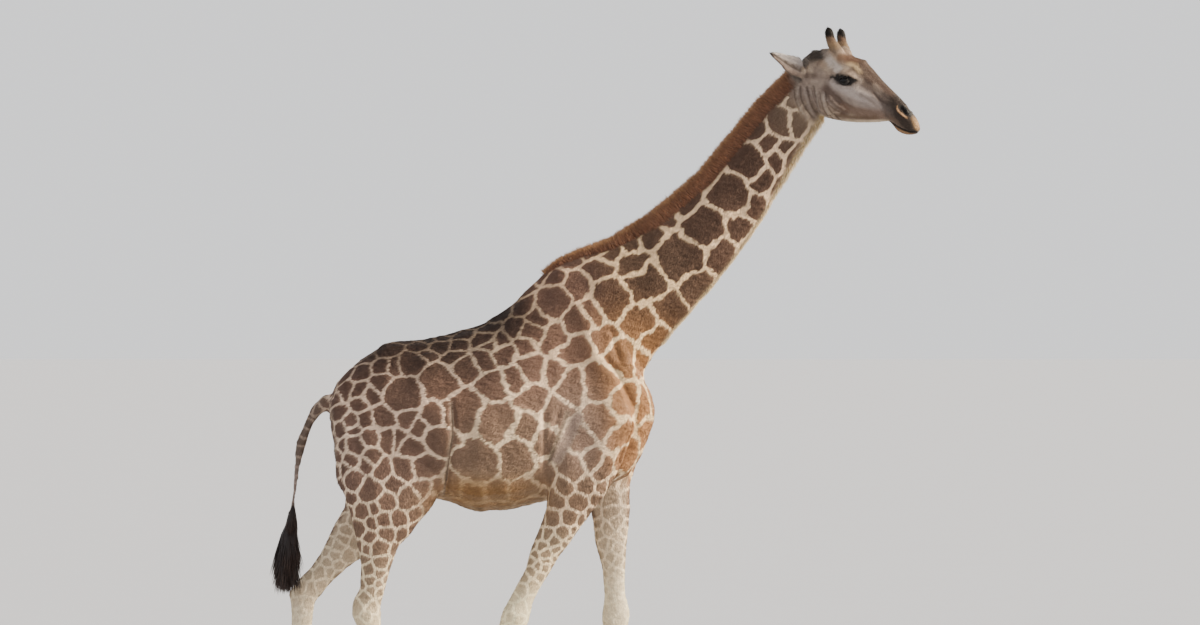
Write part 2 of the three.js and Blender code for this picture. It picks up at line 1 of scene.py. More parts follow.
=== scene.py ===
"""Looks of a life-size giraffe cow in mid stride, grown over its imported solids.

One skin replaces all the solids of flesh and lies inside them by the depth of the coat. The coat
itself is thousands of small tufts that follow the lie of the hair and carry the skin's markings.
Lengths are metres, in the frame of the solids: +X ahead, +Y the animal's left, +Z up.
"""

import json
import logging
import math
from dataclasses import dataclass, field
from enum import Enum
from typing import Any, Callable, Iterable, Sequence

import bpy
import numpy as np
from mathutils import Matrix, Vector, kdtree

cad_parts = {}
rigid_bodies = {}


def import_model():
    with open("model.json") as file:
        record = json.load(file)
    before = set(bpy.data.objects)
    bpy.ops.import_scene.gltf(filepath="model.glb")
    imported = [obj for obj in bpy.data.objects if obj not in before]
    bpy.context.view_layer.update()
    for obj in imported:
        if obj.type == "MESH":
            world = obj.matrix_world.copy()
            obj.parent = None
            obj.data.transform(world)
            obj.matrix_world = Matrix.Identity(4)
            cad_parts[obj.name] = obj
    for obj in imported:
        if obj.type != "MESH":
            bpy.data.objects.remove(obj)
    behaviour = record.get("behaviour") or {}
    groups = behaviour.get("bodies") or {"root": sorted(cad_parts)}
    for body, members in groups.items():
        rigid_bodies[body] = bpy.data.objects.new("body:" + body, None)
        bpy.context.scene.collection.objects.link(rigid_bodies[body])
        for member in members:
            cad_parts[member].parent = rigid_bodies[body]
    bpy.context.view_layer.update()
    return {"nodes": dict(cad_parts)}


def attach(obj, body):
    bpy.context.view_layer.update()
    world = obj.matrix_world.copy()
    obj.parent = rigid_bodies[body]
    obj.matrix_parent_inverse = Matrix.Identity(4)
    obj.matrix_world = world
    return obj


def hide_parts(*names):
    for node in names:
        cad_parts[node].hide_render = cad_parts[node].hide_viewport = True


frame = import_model()

LOG = logging.getLogger("giraffe")
Array = np.ndarray
Object = bpy.types.Object
Material = bpy.types.Material
Values = dict[str, Array]  # attributes by name
Points2 = tuple[tuple[float, float], ...]  # of a side view
Points3 = tuple[tuple[float, float, float], ...]

BODY = "root"
UV_BAKE = "OFBake"

LEGS = ("fore_right", "fore_left", "hind_right", "hind_left")
SIDES = {"right": -1, "left": 1}

HEAD_YAW = math.radians(-25)  # the head looks out to the right
POLL = np.array((1.0736, 0.0, 3.56))  # where the skull turns on the neck
BARREL_FRONT, BARREL_BACK = -0.297, -0.737  # where the barrel's coat ends

CAMERA_PLACE = (0.0136, -30.0, 2.4225)
CAMERA_LENS = 180.0
CAMERA_SENSOR = 36.0


class Side(Enum):
    """Which side of the animal a stroke or a wash is on."""

    RIGHT = -1
    BOTH = 0
    LEFT = 1


class Part(Enum):
    """The lengths of the animal that carry a coat piece each."""

    HEAD = 0
    NECK = 1
    SHOULDERS = 2
    BARREL = 3
    QUARTERS = 4
    FORELEGS = 5
    HIND_LEGS = 6


# ---- plain geometry


def smoothstep(low: float, high: float, value: Array) -> Array:
    """A soft step from 0 at `low` to 1 at `high`."""
    share = np.clip((value - low) / (high - low), 0, 1)
    return share * share * (3 - 2 * share)


def unit(vectors: Array) -> Array:
    """The vectors, each with length 1."""
    return vectors / np.maximum(np.linalg.norm(vectors, axis=-1, keepdims=True), 1e-9)


def ripples(co: Array, wavelength: float, seed: int, waves: int = 14) -> Array:
    """A smooth random field over points.

    Args:
        co: The points.
        wavelength: Rough distance from one crest to the next.
        seed: Which field it is.
        waves: How many plane waves are added.

    Returns:
        A value of about -1 to 1 for each point.
    """
    draw = np.random.default_rng(seed)
    ways = unit(draw.normal(size=(waves, 3))) * (2 * np.pi / wavelength)
    ways *= draw.uniform(0.6, 1.5, (waves, 1))
    phases = draw.uniform(0, 2 * np.pi, waves)
    return np.sin(co @ ways.T + phases).sum(axis=1) * 1.4 / math.sqrt(waves / 2) / 2


@dataclass
class PathFit:
    """Where points lie along a path: their distance from it, the length along it and the nearest point."""

    distance: Array
    along: Array
    foot: Array


def fit_path(points: Array, path: Array, open_ends: bool = False) -> PathFit:
    """Measures points against a path of straight runs.

    Args:
        points: The points, in as many dimensions as the path.
        path: Its corners, in order.
        open_ends: Whether the first and last runs go on past their ends.

    Returns:
        The fit of every point.
    """
    count, last = len(points), len(path) - 2
    fit = PathFit(np.full(count, np.inf), np.zeros(count), np.zeros_like(points))
    begun = 0.0
    for index, (start, end) in enumerate(zip(path[:-1], path[1:])):
        run = end - start
        length = float(np.linalg.norm(run))
        share = (points - start) @ run / length**2
        low = -np.inf if open_ends and index == 0 else 0
        high = np.inf if open_ends and index == last else 1
        share = np.clip(share, low, high)
        foot = start + share[:, None] * run
        distance = np.linalg.norm(points - foot, axis=1)
        better = distance < fit.distance
        fit.distance[better] = distance[better]
        fit.along[better] = begun + share[better] * length
        fit.foot[better] = foot[better]
        begun += length
    return fit


def stops_of(path: Array) -> Array:
    """The length along a path at each of its corners."""
    return np.concatenate(([0], np.cumsum(np.linalg.norm(np.diff(path, axis=0), axis=1))))


def sums_at(slots: Array, values: Array, count: int) -> Array:
    """The sums of the vectors that share a slot, a row for each of `count` slots."""
    return np.stack([np.bincount(slots, values[:, k], count) for k in range(3)], axis=1)


def blend(colours: Array, other: Array, share: Array) -> None:
    """Moves colours towards another by each point's share, in place."""
    colours += (other - colours) * share[:, None]


def sideways(values: Array) -> Array:
    """Vectors along Y with the given lengths."""
    return np.stack((np.zeros(len(values)), values, np.zeros(len(values))), axis=1)


def to_head(points: Array) -> Array:
    """Points in the head's own frame: x towards the nose, y to the left, z up, from the poll."""
    return (points - POLL) @ head_turn()


def from_head(points: Array) -> Array:
    """Points of the head's own frame in the animal's frame."""
    return points @ head_turn().T + POLL


def head_turn() -> Array:
    """The rotation of the head's frame."""
    cosine, sine = math.cos(HEAD_YAW), math.sin(HEAD_YAW)
    return np.array(((cosine, -sine, 0), (sine, cosine, 0), (0, 0, 1)))


# ---- surfaces


@dataclass
class Surface:
    """A mesh as plain arrays: points, and faces of three or four corners."""

    co: Array
    faces: Array

    @classmethod
    def of(cls, mesh: bpy.types.Mesh) -> "Surface":
        """The surface of a mesh whose faces all have the same count of corners."""
        co = np.empty(len(mesh.vertices) * 3, np.float32)
        mesh.vertices.foreach_get("co", co)
        corners = np.empty(len(mesh.loops), np.int32)
        mesh.loops.foreach_get("vertex_index", corners)
        sides = len(mesh.loops) // max(len(mesh.polygons), 1)
        return cls(co.reshape(-1, 3).astype(float), corners.reshape(-1, sides))

    def links(self) -> tuple[Array, Array]:
        """Both ends of every edge, once in each direction."""
        return self.faces.ravel(), np.roll(self.faces, -1, axis=1).ravel()

    def normals(self) -> Array:
        """The unit normal of every point."""
        corners = self.co[self.faces]
        if self.faces.shape[1] == 3:
            ways = np.cross(corners[:, 1] - corners[:, 0], corners[:, 2] - corners[:, 0])
        else:
            ways = np.cross(corners[:, 2] - corners[:, 0], corners[:, 3] - corners[:, 1])
        flat = self.faces.ravel()
        repeated = np.repeat(ways, self.faces.shape[1], axis=0)
        return unit(sums_at(flat, repeated, len(self.co)))

    def smooth(self, passes: int, weight: Array | float = 1.0, near: Array | None = None) -> None:
        """Smooths the points in place without shrinking them.

        Args:
            passes: How many times.
            weight: How much each point takes part, 0 to 1.
            near: A mask of the points that are worked on.
        """
        starts, ends = self.links()
        weights = np.broadcast_to(np.asarray(weight, float), (len(self.co),))
        chosen = np.arange(len(self.co))
        if near is not None:
            keep = near[starts]
            starts, ends = starts[keep], ends[keep]
            chosen = np.flatnonzero(near)
        place = np.zeros(len(self.co), int)
        place[chosen] = np.arange(len(chosen))
        slots = place[starts]
        counts = np.maximum(np.bincount(slots, minlength=len(chosen)), 1)
        share = weights[chosen][:, None]
        for step in (0.62, -0.64) * passes:
            middle = sums_at(slots, self.co[ends], len(chosen)) / counts[:, None]
            self.co[chosen] += step * share * (middle - self.co[chosen])

    def object(self, name: str, finish: Material | None = None) -> Object:
        """A new mesh object of this surface."""
        mesh = bpy.data.meshes.new(name)
        mesh.vertices.add(len(self.co))
        mesh.vertices.foreach_set("co", self.co.astype(np.float32).ravel())
        sides = self.faces.shape[1]
        mesh.loops.add(self.faces.size)
        mesh.loops.foreach_set("vertex_index", self.faces.astype(np.int32).ravel())
        mesh.polygons.add(len(self.faces))
        mesh.polygons.foreach_set("loop_start", np.arange(0, self.faces.size, sides, dtype=np.int32))
        mesh.update(calc_edges=True)
        mesh.validate()
        mesh.shade_smooth()
        if finish is not None:
            mesh.materials.append(finish)
        made = bpy.data.objects.new(name, mesh)
        bpy.context.scene.collection.objects.link(made)
        return made


def joined(surfaces: Sequence[Surface]) -> Surface:
    """Several surfaces with the same count of corners as one."""
    starts = np.cumsum([0] + [len(surface.co) for surface in surfaces[:-1]])
    faces = [surface.faces + start for surface, start in zip(surfaces, starts)]
    return Surface(np.concatenate([surface.co for surface in surfaces]), np.concatenate(faces))


def node_surface(name: str) -> Surface:
    """A triangle surface of a CAD node, its corners merged."""
    surface = Surface.of(frame["nodes"][name].data)
    keys = np.round(surface.co * 1e5).astype(np.int64)
    _, first, place = np.unique(keys, axis=0, return_index=True, return_inverse=True)
    faces = place.ravel()[surface.faces]
    proper = (faces[:, 0] != faces[:, 1]) & (faces[:, 1] != faces[:, 2]) & (faces[:, 2] != faces[:, 0])
    return Surface(surface.co[first], faces[proper])


def triangulated(surface: Surface) -> Surface:
    """The same surface, of triangles."""
    if surface.faces.shape[1] == 3:
        return surface
    first, second = surface.faces[:, (0, 1, 2)], surface.faces[:, (0, 2, 3)]
    return Surface(surface.co, np.concatenate((first, second)))


def with_modifier(surface: Surface, kind: str, **settings: Any) -> Surface:
    """A surface after one modifier.

    Args:
        surface: The surface that it works on.
        kind: The modifier's type.
        **settings: Its settings.

    Returns:
        The new surface.
    """
    source = surface.object("scratch")
    modifier = source.modifiers.new(kind.lower(), kind)
    for key, value in settings.items():
        setattr(modifier, key, value)
    mesh = bpy.data.meshes.new_from_object(source.evaluated_get(bpy.context.evaluated_depsgraph_get()))
    result = Surface.of(mesh)
    old = source.data
    bpy.data.objects.remove(source)
    bpy.data.meshes.remove(old)
    bpy.data.meshes.remove(mesh)
    return result


def remeshed(surface: Surface, voxel: float) -> Surface:
    """One closed skin of even quads round everything in a surface."""
    return with_modifier(surface, "REMESH", mode="VOXEL", voxel_size=voxel)


def thinned(surface: Surface, triangles: int) -> Surface:
    """A surface with about so many triangles, most where it bends."""
    ratio = triangles / (2 * len(surface.faces))
    return with_modifier(surface, "DECIMATE", ratio=ratio, use_collapse_triangulate=True)


# ---- the plan of the body


@dataclass(frozen=True)
class Axis:
    """The middle line of one length of the body, with the way its hair lies."""

    part: Part
    points: Points3
    radii: tuple[float, ...]
    girth: float  # the chart's width
    turned: bool = False  # whether the hair lies against the path's own direction
    droop: float = 0.0  # how much the hair also hangs
    side: tuple[float, float, float] = (0.0, 1.0, 0.0)

    def path(self) -> Array:
        """The points as an array."""
        return np.array(self.points)


def head_path(*points: tuple[float, float, float]) -> Points3:
    """Points of the head's frame as points of the body's frame."""
    return tuple(map(tuple, from_head(np.array(points))))


def body_axes() -> dict[str, Axis]:
    """The middle lines of trunk, neck, head, ears, tail and legs, by name."""
    axes = {
        "trunk": Axis(
            Part.BARREL,
            ((-1.34, 0, 1.88), (-1.07, 0, 1.91), (-0.6, 0, 1.9), (-0.2, 0, 1.98), (0.16, 0, 2.02)),
            (0.13, 0.3, 0.4, 0.42, 0.36), 2.3, turned=True, droop=0.45,
        ),
        "neck": Axis(
            Part.NECK,
            (
                (0.02, 0, 2.28), (0.23, 0, 2.54), (0.42, 0, 2.7),
                (0.65, 0, 2.95), (0.92, 0, 3.34), (1.04, 0, 3.5),
            ),
            (0.3, 0.19, 0.16, 0.13, 0.1, 0.1), 0.95, turned=True, droop=0.2,
        ),
        "head": Axis(
            Part.HEAD,
            head_path((-0.03, 0, -0.02), (0.2, 0, -0.03), (0.38, 0, -0.1), (0.57, 0, -0.22)),
            (0.14, 0.16, 0.1, 0.05), 0.75, turned=True, side=(0.4226, 0.9063, 0.0),
        ),
        "tail": Axis(
            Part.QUARTERS,
            ((-1.34, 0, 1.975), (-1.405, 0, 1.935), (-1.462, 0, 1.825), (-1.506, 0, 1.64), (-1.53, 0, 1.41)),
            (0.04, 0.035, 0.028, 0.02, 0.016), 0.17,
        ),
    }
    for side_name, side in SIDES.items():
        axes[f"ear_{side_name}"] = Axis(
            Part.HEAD,
            head_path(
                (-0.012, side * 0.055, 0.05), (-0.062, side * 0.138, 0.095), (-0.13, side * 0.25, 0.156),
            ),
            (0.05, 0.046, 0.03), 0.26, side=(1.0, 0.0, 0.0),
        )
    stations = {
        "fore_right": (
            (-0.10, -0.2, 1.6), (-0.11, -0.198, 1.545), (-0.412, -0.178, 0.918),
            (-0.65, -0.172, 0.245), (-0.61, -0.171, 0.03),
        ),
        "fore_left": (
            (0.05, 0.2, 1.6), (0.052, 0.198, 1.56), (0.086, 0.178, 0.905),
            (0.1, 0.172, 0.216), (0.15, 0.171, 0.03),
        ),
        "hind_right": (
            (-1.0, -0.174, 1.6), (-1.03, -0.174, 1.45), (-1.145, -0.16, 0.925),
            (-1.13, -0.166, 0.24), (-1.08, -0.168, 0.03),
        ),
        "hind_left": (
            (-1.1, 0.174, 1.6), (-1.13, 0.174, 1.45), (-1.484, 0.16, 0.998),
            (-1.532, 0.166, 0.3), (-1.49, 0.168, 0.03),
        ),
    }
    for name, points in stations.items():
        part = Part.FORELEGS if name.startswith("fore") else Part.HIND_LEGS
        axes[f"leg_{name}"] = Axis(part, points, (0.12, 0.11, 0.065, 0.055, 0.06), 0.44)
    return axes


@dataclass
class Plan:
    """How every point of the skin lies on the body, for each axis, and which way its hair lies."""

    nearness: Array
    alongs: Array
    angles: Array
    lie: Array

    def charts(self, faces: Array) -> Array:
        """The number of the axis that each triangle lies round."""
        return self.nearness[faces].mean(axis=1).argmin(axis=1)


def planned(co: Array, normals: Array, axes: dict[str, Axis]) -> Plan:
    """Lays the body's axes under the points of its skin.

    Args:
        co: The points.
        normals: Their normals.
        axes: The axes by name.

    Returns:
        The plan.
    """
    nearness, alongs, angles, ways = [], [], [], []
    for axis in axes.values():
        path = axis.path()
        fit = fit_path(co, path, open_ends=True)
        stops = stops_of(path)
        radius = np.interp(fit.along, stops, axis.radii)
        past = np.maximum(np.maximum(-fit.along, fit.along - stops[-1]), 0)
        nearness.append(np.hypot(fit.distance, past * 1.5) / radius)
        runs = unit(np.diff(path, axis=0))
        tangent = smooth_tangents(fit.along, stops, runs)
        side = np.array(axis.side)
        upward = unit(np.cross(tangent, side))
        away = co - fit.foot
        angles.append(np.arctan2(away @ side, (away * upward).sum(axis=1)))
        alongs.append(fit.along)
        way = -tangent if axis.turned else tangent
        ways.append(unit(way + axis.droop * np.array((0, 0, -1))))
    nearness = np.stack(nearness, axis=1)
    share = np.maximum(nearness, 0.2) ** -7
    share /= share.sum(axis=1, keepdims=True)
    lie = (np.stack(ways, axis=1) * share[:, :, None]).sum(axis=1)
    lie = unit(lie - (lie * normals).sum(axis=1, keepdims=True) * normals)
    return Plan(nearness, np.stack(alongs, 1), np.stack(angles, 1), lie)


def smooth_tangents(along: Array, stops: Array, runs: Array) -> Array:
    """The direction of a path at each length along it, turning smoothly from run to run."""
    middles = (stops[1:] + stops[:-1]) / 2
    return unit(np.stack([np.interp(along, middles, way) for way in runs.T], axis=1))


def from_ears(co: Array) -> Array:
    """How far points are from the middle line of the nearer ear."""
    axes = body_axes()
    return np.minimum(*(fit_path(co, axes[f"ear_{name}"].path()).distance for name in SIDES))


# ---- folds and muscles


@dataclass(frozen=True)
class Stroke:
    """A ridge or groove drawn on the skin in a side view; a negative height is a groove."""

    path: Points2
    height: float
    width: float
    side: Side = Side.BOTH
    on_head: bool = False

    def apply(self, co: Array, normals: Array) -> Array:
        """How far each point moves along its normal."""
        places = to_head(co) if self.on_head else co
        facing = normals @ head_turn() if self.on_head else normals
        path = np.array(self.path)
        fit = fit_path(places[:, (0, 2)], path)
        share = fit.along / stops_of(path)[-1]
        taper = np.clip(np.minimum(share, 1 - share) * 5 + 0.25, 0, 1)
        flank = np.sign(places[:, 1]) if self.side is Side.BOTH else float(self.side.value)
        outward = smoothstep(-0.1, 0.35, facing[:, 1] * flank) * (places[:, 1] * flank > 0.004)
        return self.height * np.exp(-((fit.distance / self.width) ** 2)) * taper * outward


BODY_STROKES = (
    # flank: the fold in front of the thigh, the hollow before it and the thigh's own front
    Stroke(((-0.722, 1.99), (-0.712, 1.86), (-0.742, 1.64), (-0.762, 1.51)), -0.013, 0.017),
    Stroke(((-0.79, 1.98), (-0.785, 1.86), (-0.815, 1.66), (-0.84, 1.53)), 0.014, 0.055),
    Stroke(((-0.63, 2.06), (-0.64, 1.9), (-0.66, 1.72)), -0.012, 0.07),
    # hip bone, loin and the line between the thigh's muscles
    Stroke(((-0.86, 2.22), (-0.84, 2.14)), 0.016, 0.05),
    Stroke(((-0.93, 2.16), (-1.02, 2.0), (-1.1, 1.86)), -0.008, 0.06),
    Stroke(((-1.22, 1.98), (-1.2, 1.78), (-1.16, 1.6), (-1.12, 1.46)), -0.007, 0.03),
    Stroke(((-1.3, 2.0), (-1.31, 1.88)), 0.014, 0.04),
    # shoulder blade and upper arm of the right side
    Stroke(((-0.26, 1.95), (-0.262, 1.8), (-0.262, 1.62), (-0.255, 1.5)), -0.013, 0.02, Side.RIGHT),
    Stroke(((-0.18, 1.95), (-0.23, 1.8), (-0.262, 1.66)), -0.007, 0.018, Side.RIGHT),
    Stroke(((-0.2, 1.8), (-0.16, 1.62), (-0.17, 1.5)), 0.01, 0.06, Side.RIGHT),
    Stroke(((0.07, 2.36), (0.09, 2.25), (0.118, 2.17)), -0.012, 0.022),
    Stroke(((0.01, 2.24), (0.11, 2.1), (0.19, 1.94), (0.19, 1.83), (0.15, 1.75), (0.03, 1.56)), -0.012, 0.022,
           Side.RIGHT),
    Stroke(((-0.05, 2.3), (0.03, 2.1), (0.1, 1.93), (0.08, 1.8)), 0.012, 0.05, Side.RIGHT),
    Stroke(((-0.12, 2.52), (-0.04, 2.32), (0.0, 2.12)), 0.01, 0.045),
    Stroke(((-0.22, 2.44), (-0.17, 2.24), (-0.13, 2.04)), -0.008, 0.045),
    # folds of loose skin between the forearm and the brisket
    Stroke(((0.2, 1.79), (0.14, 1.7), (0.06, 1.6), (0.01, 1.54)), -0.011, 0.014, Side.RIGHT),
    Stroke(((0.11, 1.54), (0.06, 1.5), (0.02, 1.47)), -0.006, 0.007, Side.RIGHT),
    Stroke(((0.12, 1.515), (0.07, 1.475), (0.03, 1.445)), -0.006, 0.007, Side.RIGHT),
    Stroke(((0.12, 1.49), (0.08, 1.455), (0.04, 1.425)), -0.005, 0.006, Side.RIGHT),
    # the left side's shoulder, whose leg is further ahead
    Stroke(((-0.15, 1.95), (-0.13, 1.8), (-0.1, 1.62), (-0.09, 1.5)), -0.012, 0.02, Side.LEFT),
    Stroke(((0.06, 2.24), (0.15, 2.1), (0.21, 1.94), (0.2, 1.8)), -0.009, 0.022, Side.LEFT),
    # windpipe and neck muscle
    Stroke(((0.24, 2.36), (0.42, 2.55), (0.66, 2.85), (0.92, 3.22)), -0.007, 0.024),
    Stroke(((-0.06, 2.62), (0.2, 2.74), (0.46, 2.95), (0.8, 3.36)), -0.005, 0.03),
)


def leg_strokes() -> list[Stroke]:
    """Sinews, knees and hocks of the four legs."""
    strokes = []
    for name in LEGS:
        side = Side.LEFT if name.endswith("left") else Side.RIGHT
        path = body_axes()[f"leg_{name}"].path()[:, (0, 2)]
        knee, fetlock = path[2], path[3]
        shin = fetlock - knee
        back = np.array((shin[1], -shin[0])) / np.linalg.norm(shin)  # towards the heel
        for share, height, width in ((0.2, -0.006, 0.01), (-0.45, 0.004, 0.012)):
            line = [tuple(knee + shin * t + back * 0.045 * share * 2) for t in (0.2, 0.5, 0.85)]
            strokes.append(Stroke(tuple(line), height, width, side))
        bump = [tuple(knee + back * s) for s in (-0.03, 0.03)]
        strokes.append(Stroke(tuple(bump), 0.006, 0.035, side))
        hollow = [tuple(knee + back * 0.03 - shin * t) for t in (0.22, 0.1)]
        strokes.append(Stroke(tuple(hollow), -0.007, 0.02, side))
    return strokes


MOUTH_LINE = ((0.432, -0.19), (0.46, -0.207), (0.5, -0.228), (0.54, -0.243), (0.575, -0.242))

HEAD_STROKES = tuple(Stroke(path, height, width, on_head=True) for path, height, width in (
    # hollow of the temple, ridge of the cheek, and the jaw's muscle
    (((0.13, 0.06), (0.1, 0.02), (0.1, -0.03)), -0.007, 0.024),
    (((0.25, -0.03), (0.32, -0.055), (0.4, -0.09)), 0.006, 0.016),
    (((0.27, -0.075), (0.33, -0.1), (0.4, -0.135)), -0.006, 0.018),
    (((0.14, -0.05), (0.2, -0.09), (0.22, -0.15)), -0.003, 0.02),
    (((0.03, -0.02), (0.02, -0.08), (0.06, -0.15)), -0.006, 0.016),
    (((0.3, 0.04), (0.38, -0.02), (0.47, -0.085)), 0.004, 0.012),
    # nostrils with their rims, the line of the mouth, the lips and the chin
    (((0.491, -0.113), (0.512, -0.129), (0.535, -0.156)), -0.017, 0.0078),
    (((0.477, -0.119), (0.485, -0.139), (0.523, -0.171)), 0.006, 0.006),
    (((0.5, -0.096), (0.523, -0.116), (0.55, -0.148)), 0.004, 0.006),
    (((0.355, -0.045), (0.388, -0.084), (0.427, -0.105)), -0.004, 0.006),
    (MOUTH_LINE, -0.009, 0.005),
    (tuple((x, z + 0.014) for x, z in MOUTH_LINE), 0.0045, 0.009),
    (((0.45, -0.222), (0.49, -0.242), (0.53, -0.256)), 0.003, 0.008),
    # brow over the eye and the fold under it
    (((0.165, 0.045), (0.2, 0.058), (0.245, 0.048), (0.27, 0.02)), 0.006, 0.011),
    (((0.175, -0.012), (0.2, -0.028), (0.24, -0.028), (0.262, -0.01)), -0.004, 0.007),
))


# ---- the skin


@dataclass
class Skin:
    """The one skin that replaces the flesh solids."""

    coat_depth: float = 0.005
    coarse_voxel: float = 0.010
    fine_voxel: float = 0.0046
    triangles: int = 190_000
    body_passes: int = 55  # of smoothing, before head and body are joined
    head_passes: int = 60
    neck_passes: int = 40
    last_passes: int = 3
    foot_end: float = 0.05  # how high over the floor it ends inside the claws
    foot_tuck: float = 0.009  # how deep it lies in them
    # of the crown: how far forward and to each side, how wide and how high
    swellings: tuple[tuple[float, float, float, float], ...] = (
        (0.13, 0.055, 0.07, 0.038),
        (0.005, 0.0, 0.04, 0.021),
    )
    swelling_width: float = 0.055
    horn_base: float = 0.009  # how far it swells round each horn
    nodes: list[str] = field(default_factory=list)

    def build(self) -> Surface:
        """Grows the skin from the solids and models its folds.

        Returns:
            Its final surface, of triangles.
        """
        solids = sorted(frame["nodes"])
        claws = [name for name in solids if name.startswith("claw")]
        apart = ("claw", "eye", "ossicone", "mane", "tail_tuft")
        self.nodes = [name for name in solids if not name.startswith(apart)]
        head = [name for name in self.nodes if name.startswith(("head", "ear"))]
        flesh = [name for name in self.nodes if name not in head]
        body = remeshed(joined([node_surface(name) for name in flesh + claws]), self.coarse_voxel)
        body.smooth(self.body_passes)
        self.tuck_feet(body)
        LOG.info("body: %d quads", len(body.faces))
        pieces = [node_surface(name) for name in head + ["neck_upper"]]
        whole = remeshed(joined([triangulated(body), *pieces]), self.fine_voxel)
        LOG.info("whole: %d quads", len(whole.faces))
        self.soften(whole)
        self.model(whole)
        skin = thinned(whole, self.triangles)
        LOG.info("skin: %d triangles", len(skin.faces))
        return skin

    def tuck_feet(self, body: Surface) -> None:
        """Draws the skin into the claws below the coronets and ends it there."""
        normals = body.normals()
        low = smoothstep(0.14, 0.08, body.co[:, 2])
        body.co -= normals * (self.foot_tuck * low)[:, None]
        body.co[:, 2] = np.maximum(body.co[:, 2], self.foot_end)

    def soften(self, whole: Surface) -> None:
        """Takes the facets off head, ears and throat, and the seams off the rest."""
        places = to_head(whole.co)
        on_head = (places[:, 0] > -0.2) & (whole.co[:, 2] > 3.22)
        ears = from_ears(whole.co) < 0.06
        nose = smoothstep(0.42, 0.5, places[:, 0])
        weight = np.where(ears, 0.5, 1 - 0.75 * nose)
        whole.smooth(self.head_passes, weight, on_head)
        neck = (whole.co[:, 0] > 0.5) & (whole.co[:, 2] > 2.8) & ~on_head
        whole.smooth(self.neck_passes, 1.0, neck)
        whole.smooth(self.last_passes, np.where(ears, 0.6, 1.0))

    def depth(self, co: Array) -> Array:
        """How deep the coat is over each point."""
        places = to_head(co)
        on_head = smoothstep(-0.12, 0.05, places[:, 0]) * smoothstep(3.2, 3.3, co[:, 2])
        low = smoothstep(1.1, 0.6, co[:, 2])
        ears = smoothstep(0.07, 0.05, from_ears(co))
        depth = self.coat_depth * (1 - 0.45 * on_head) * (1 - 0.4 * low)
        return depth * (1 - 0.8 * ears)

    def widen_ears(self, whole: Surface, normals: Array) -> None:
        """Spreads the ears' upper halves up to the crown and trims them below near their tips."""
        for side in SIDES.values():
            share, across, _, near = ear_places(whole.co, normals, side, grown=False)
            upward = ear_frame(side)[2] @ head_turn().T
            rise = across * ear_width(share) * (ear_growth(share, across) - 1)
            apart = np.abs(to_head(whole.co)[:, 1])
            soft = near * smoothstep(1.5, 1.15, np.abs(across)) * smoothstep(0.07, 0.095, apart)
            whole.co += (rise * soft)[:, None] * upward

    def model(self, whole: Surface) -> None:
        """Lowers the skin by the coat's depth, then draws folds, muscles and the hair's relief."""
        normals = whole.normals()
        places = to_head(whole.co)
        over = smoothstep(0.07, 0.125, places[:, 2])
        for middle, apart, reach, rise in self.swellings:
            across = (np.abs(places[:, 1]) - apart) / self.swelling_width
            far = ((places[:, 0] - middle) / reach) ** 2 + across**2
            whole.co[:, 2] += rise * np.exp(-far) * over
        self.widen_ears(whole, normals)
        move = -self.depth(whole.co)
        for side in SIDES.values():
            base = np.array(OSSICONE_PATH)[2:5, :3] * (1, side, 1)
            move += self.horn_base * np.exp(-(fit_path(places, base).distance / 0.045) ** 2)
        folds = [Stroke(streak.path, -0.0032, 0.005, on_head=True) for streak in throat_streaks()[::2]]
        for stroke in (*BODY_STROKES, *leg_strokes(), *HEAD_STROKES, *folds):
            move += stroke.apply(whole.co, normals)
        on_body = smoothstep(3.45, 3.1, whole.co[:, 2]) * smoothstep(0.2, 0.9, whole.co[:, 2])
        move += 0.0035 * ripples(whole.co, 0.22, 3) * on_body
        move += 0.0005 * ripples(whole.co, 0.034, 4) * (0.3 + 0.7 * on_body)
        whole.co += normals * move[:, None]


# ---- unwrap


@dataclass
class Unwrap:
    """The skin rolled out, one chart for each length of the body."""

    row_width: float = 3.55
    gap: float = 0.03

    def corners(self, surface: Surface, axes: dict[str, Axis], plan: Plan) -> Array:
        """Where every corner lies on the unit square.

        Args:
            surface: The skin, of triangles.
            axes: The body's axes.
            plan: How its points lie on them.

        Returns:
            A place for each corner of each triangle.
        """
        chart = plan.charts(surface.faces)
        along = plan.alongs[surface.faces, chart[:, None]]
        angle = plan.angles[surface.faces, chart[:, None]]
        torn = np.ptp(angle, axis=1) > np.pi
        angle[torn] = np.minimum(angle[torn] + np.where(angle[torn] < 0, 2 * np.pi, 0), 1.1 * np.pi)
        girths = np.array([axis.girth for axis in axes.values()])[chart][:, None]
        metres = np.stack(((angle + np.pi) / (2 * np.pi) * girths, along), axis=2)
        sizes = {}
        for index in range(len(axes)):
            mine = metres[chart == index].reshape(-1, 2)
            if len(mine):
                sizes[index] = (mine.min(axis=0), np.ptp(mine, axis=0))
        corner, row_height, extent = np.array((self.gap, self.gap)), 0.0, 0.0
        for index in sorted(sizes, key=lambda k: -sizes[k][1][1]):
            low, size = sizes[index]
            if corner[0] + size[0] > self.row_width and corner[0] > self.gap:
                corner = np.array((self.gap, corner[1] + row_height + self.gap))
                row_height = 0.0
            metres[chart == index] += corner - low
            corner = corner + (size[0] + self.gap, 0)
            row_height = max(row_height, size[1])
            extent = max(extent, corner[0], corner[1] + row_height + self.gap)
        return metres / extent


# ---- colours and markings


def tint(code: str) -> Array:
    """A linear colour from the six letters of its screen colour."""
    shares = np.array([int(code[k : k + 2], 16) for k in (0, 2, 4)]) / 255
    return np.where(shares <= 0.04045, shares / 12.92, ((shares + 0.055) / 1.055) ** 2.4)


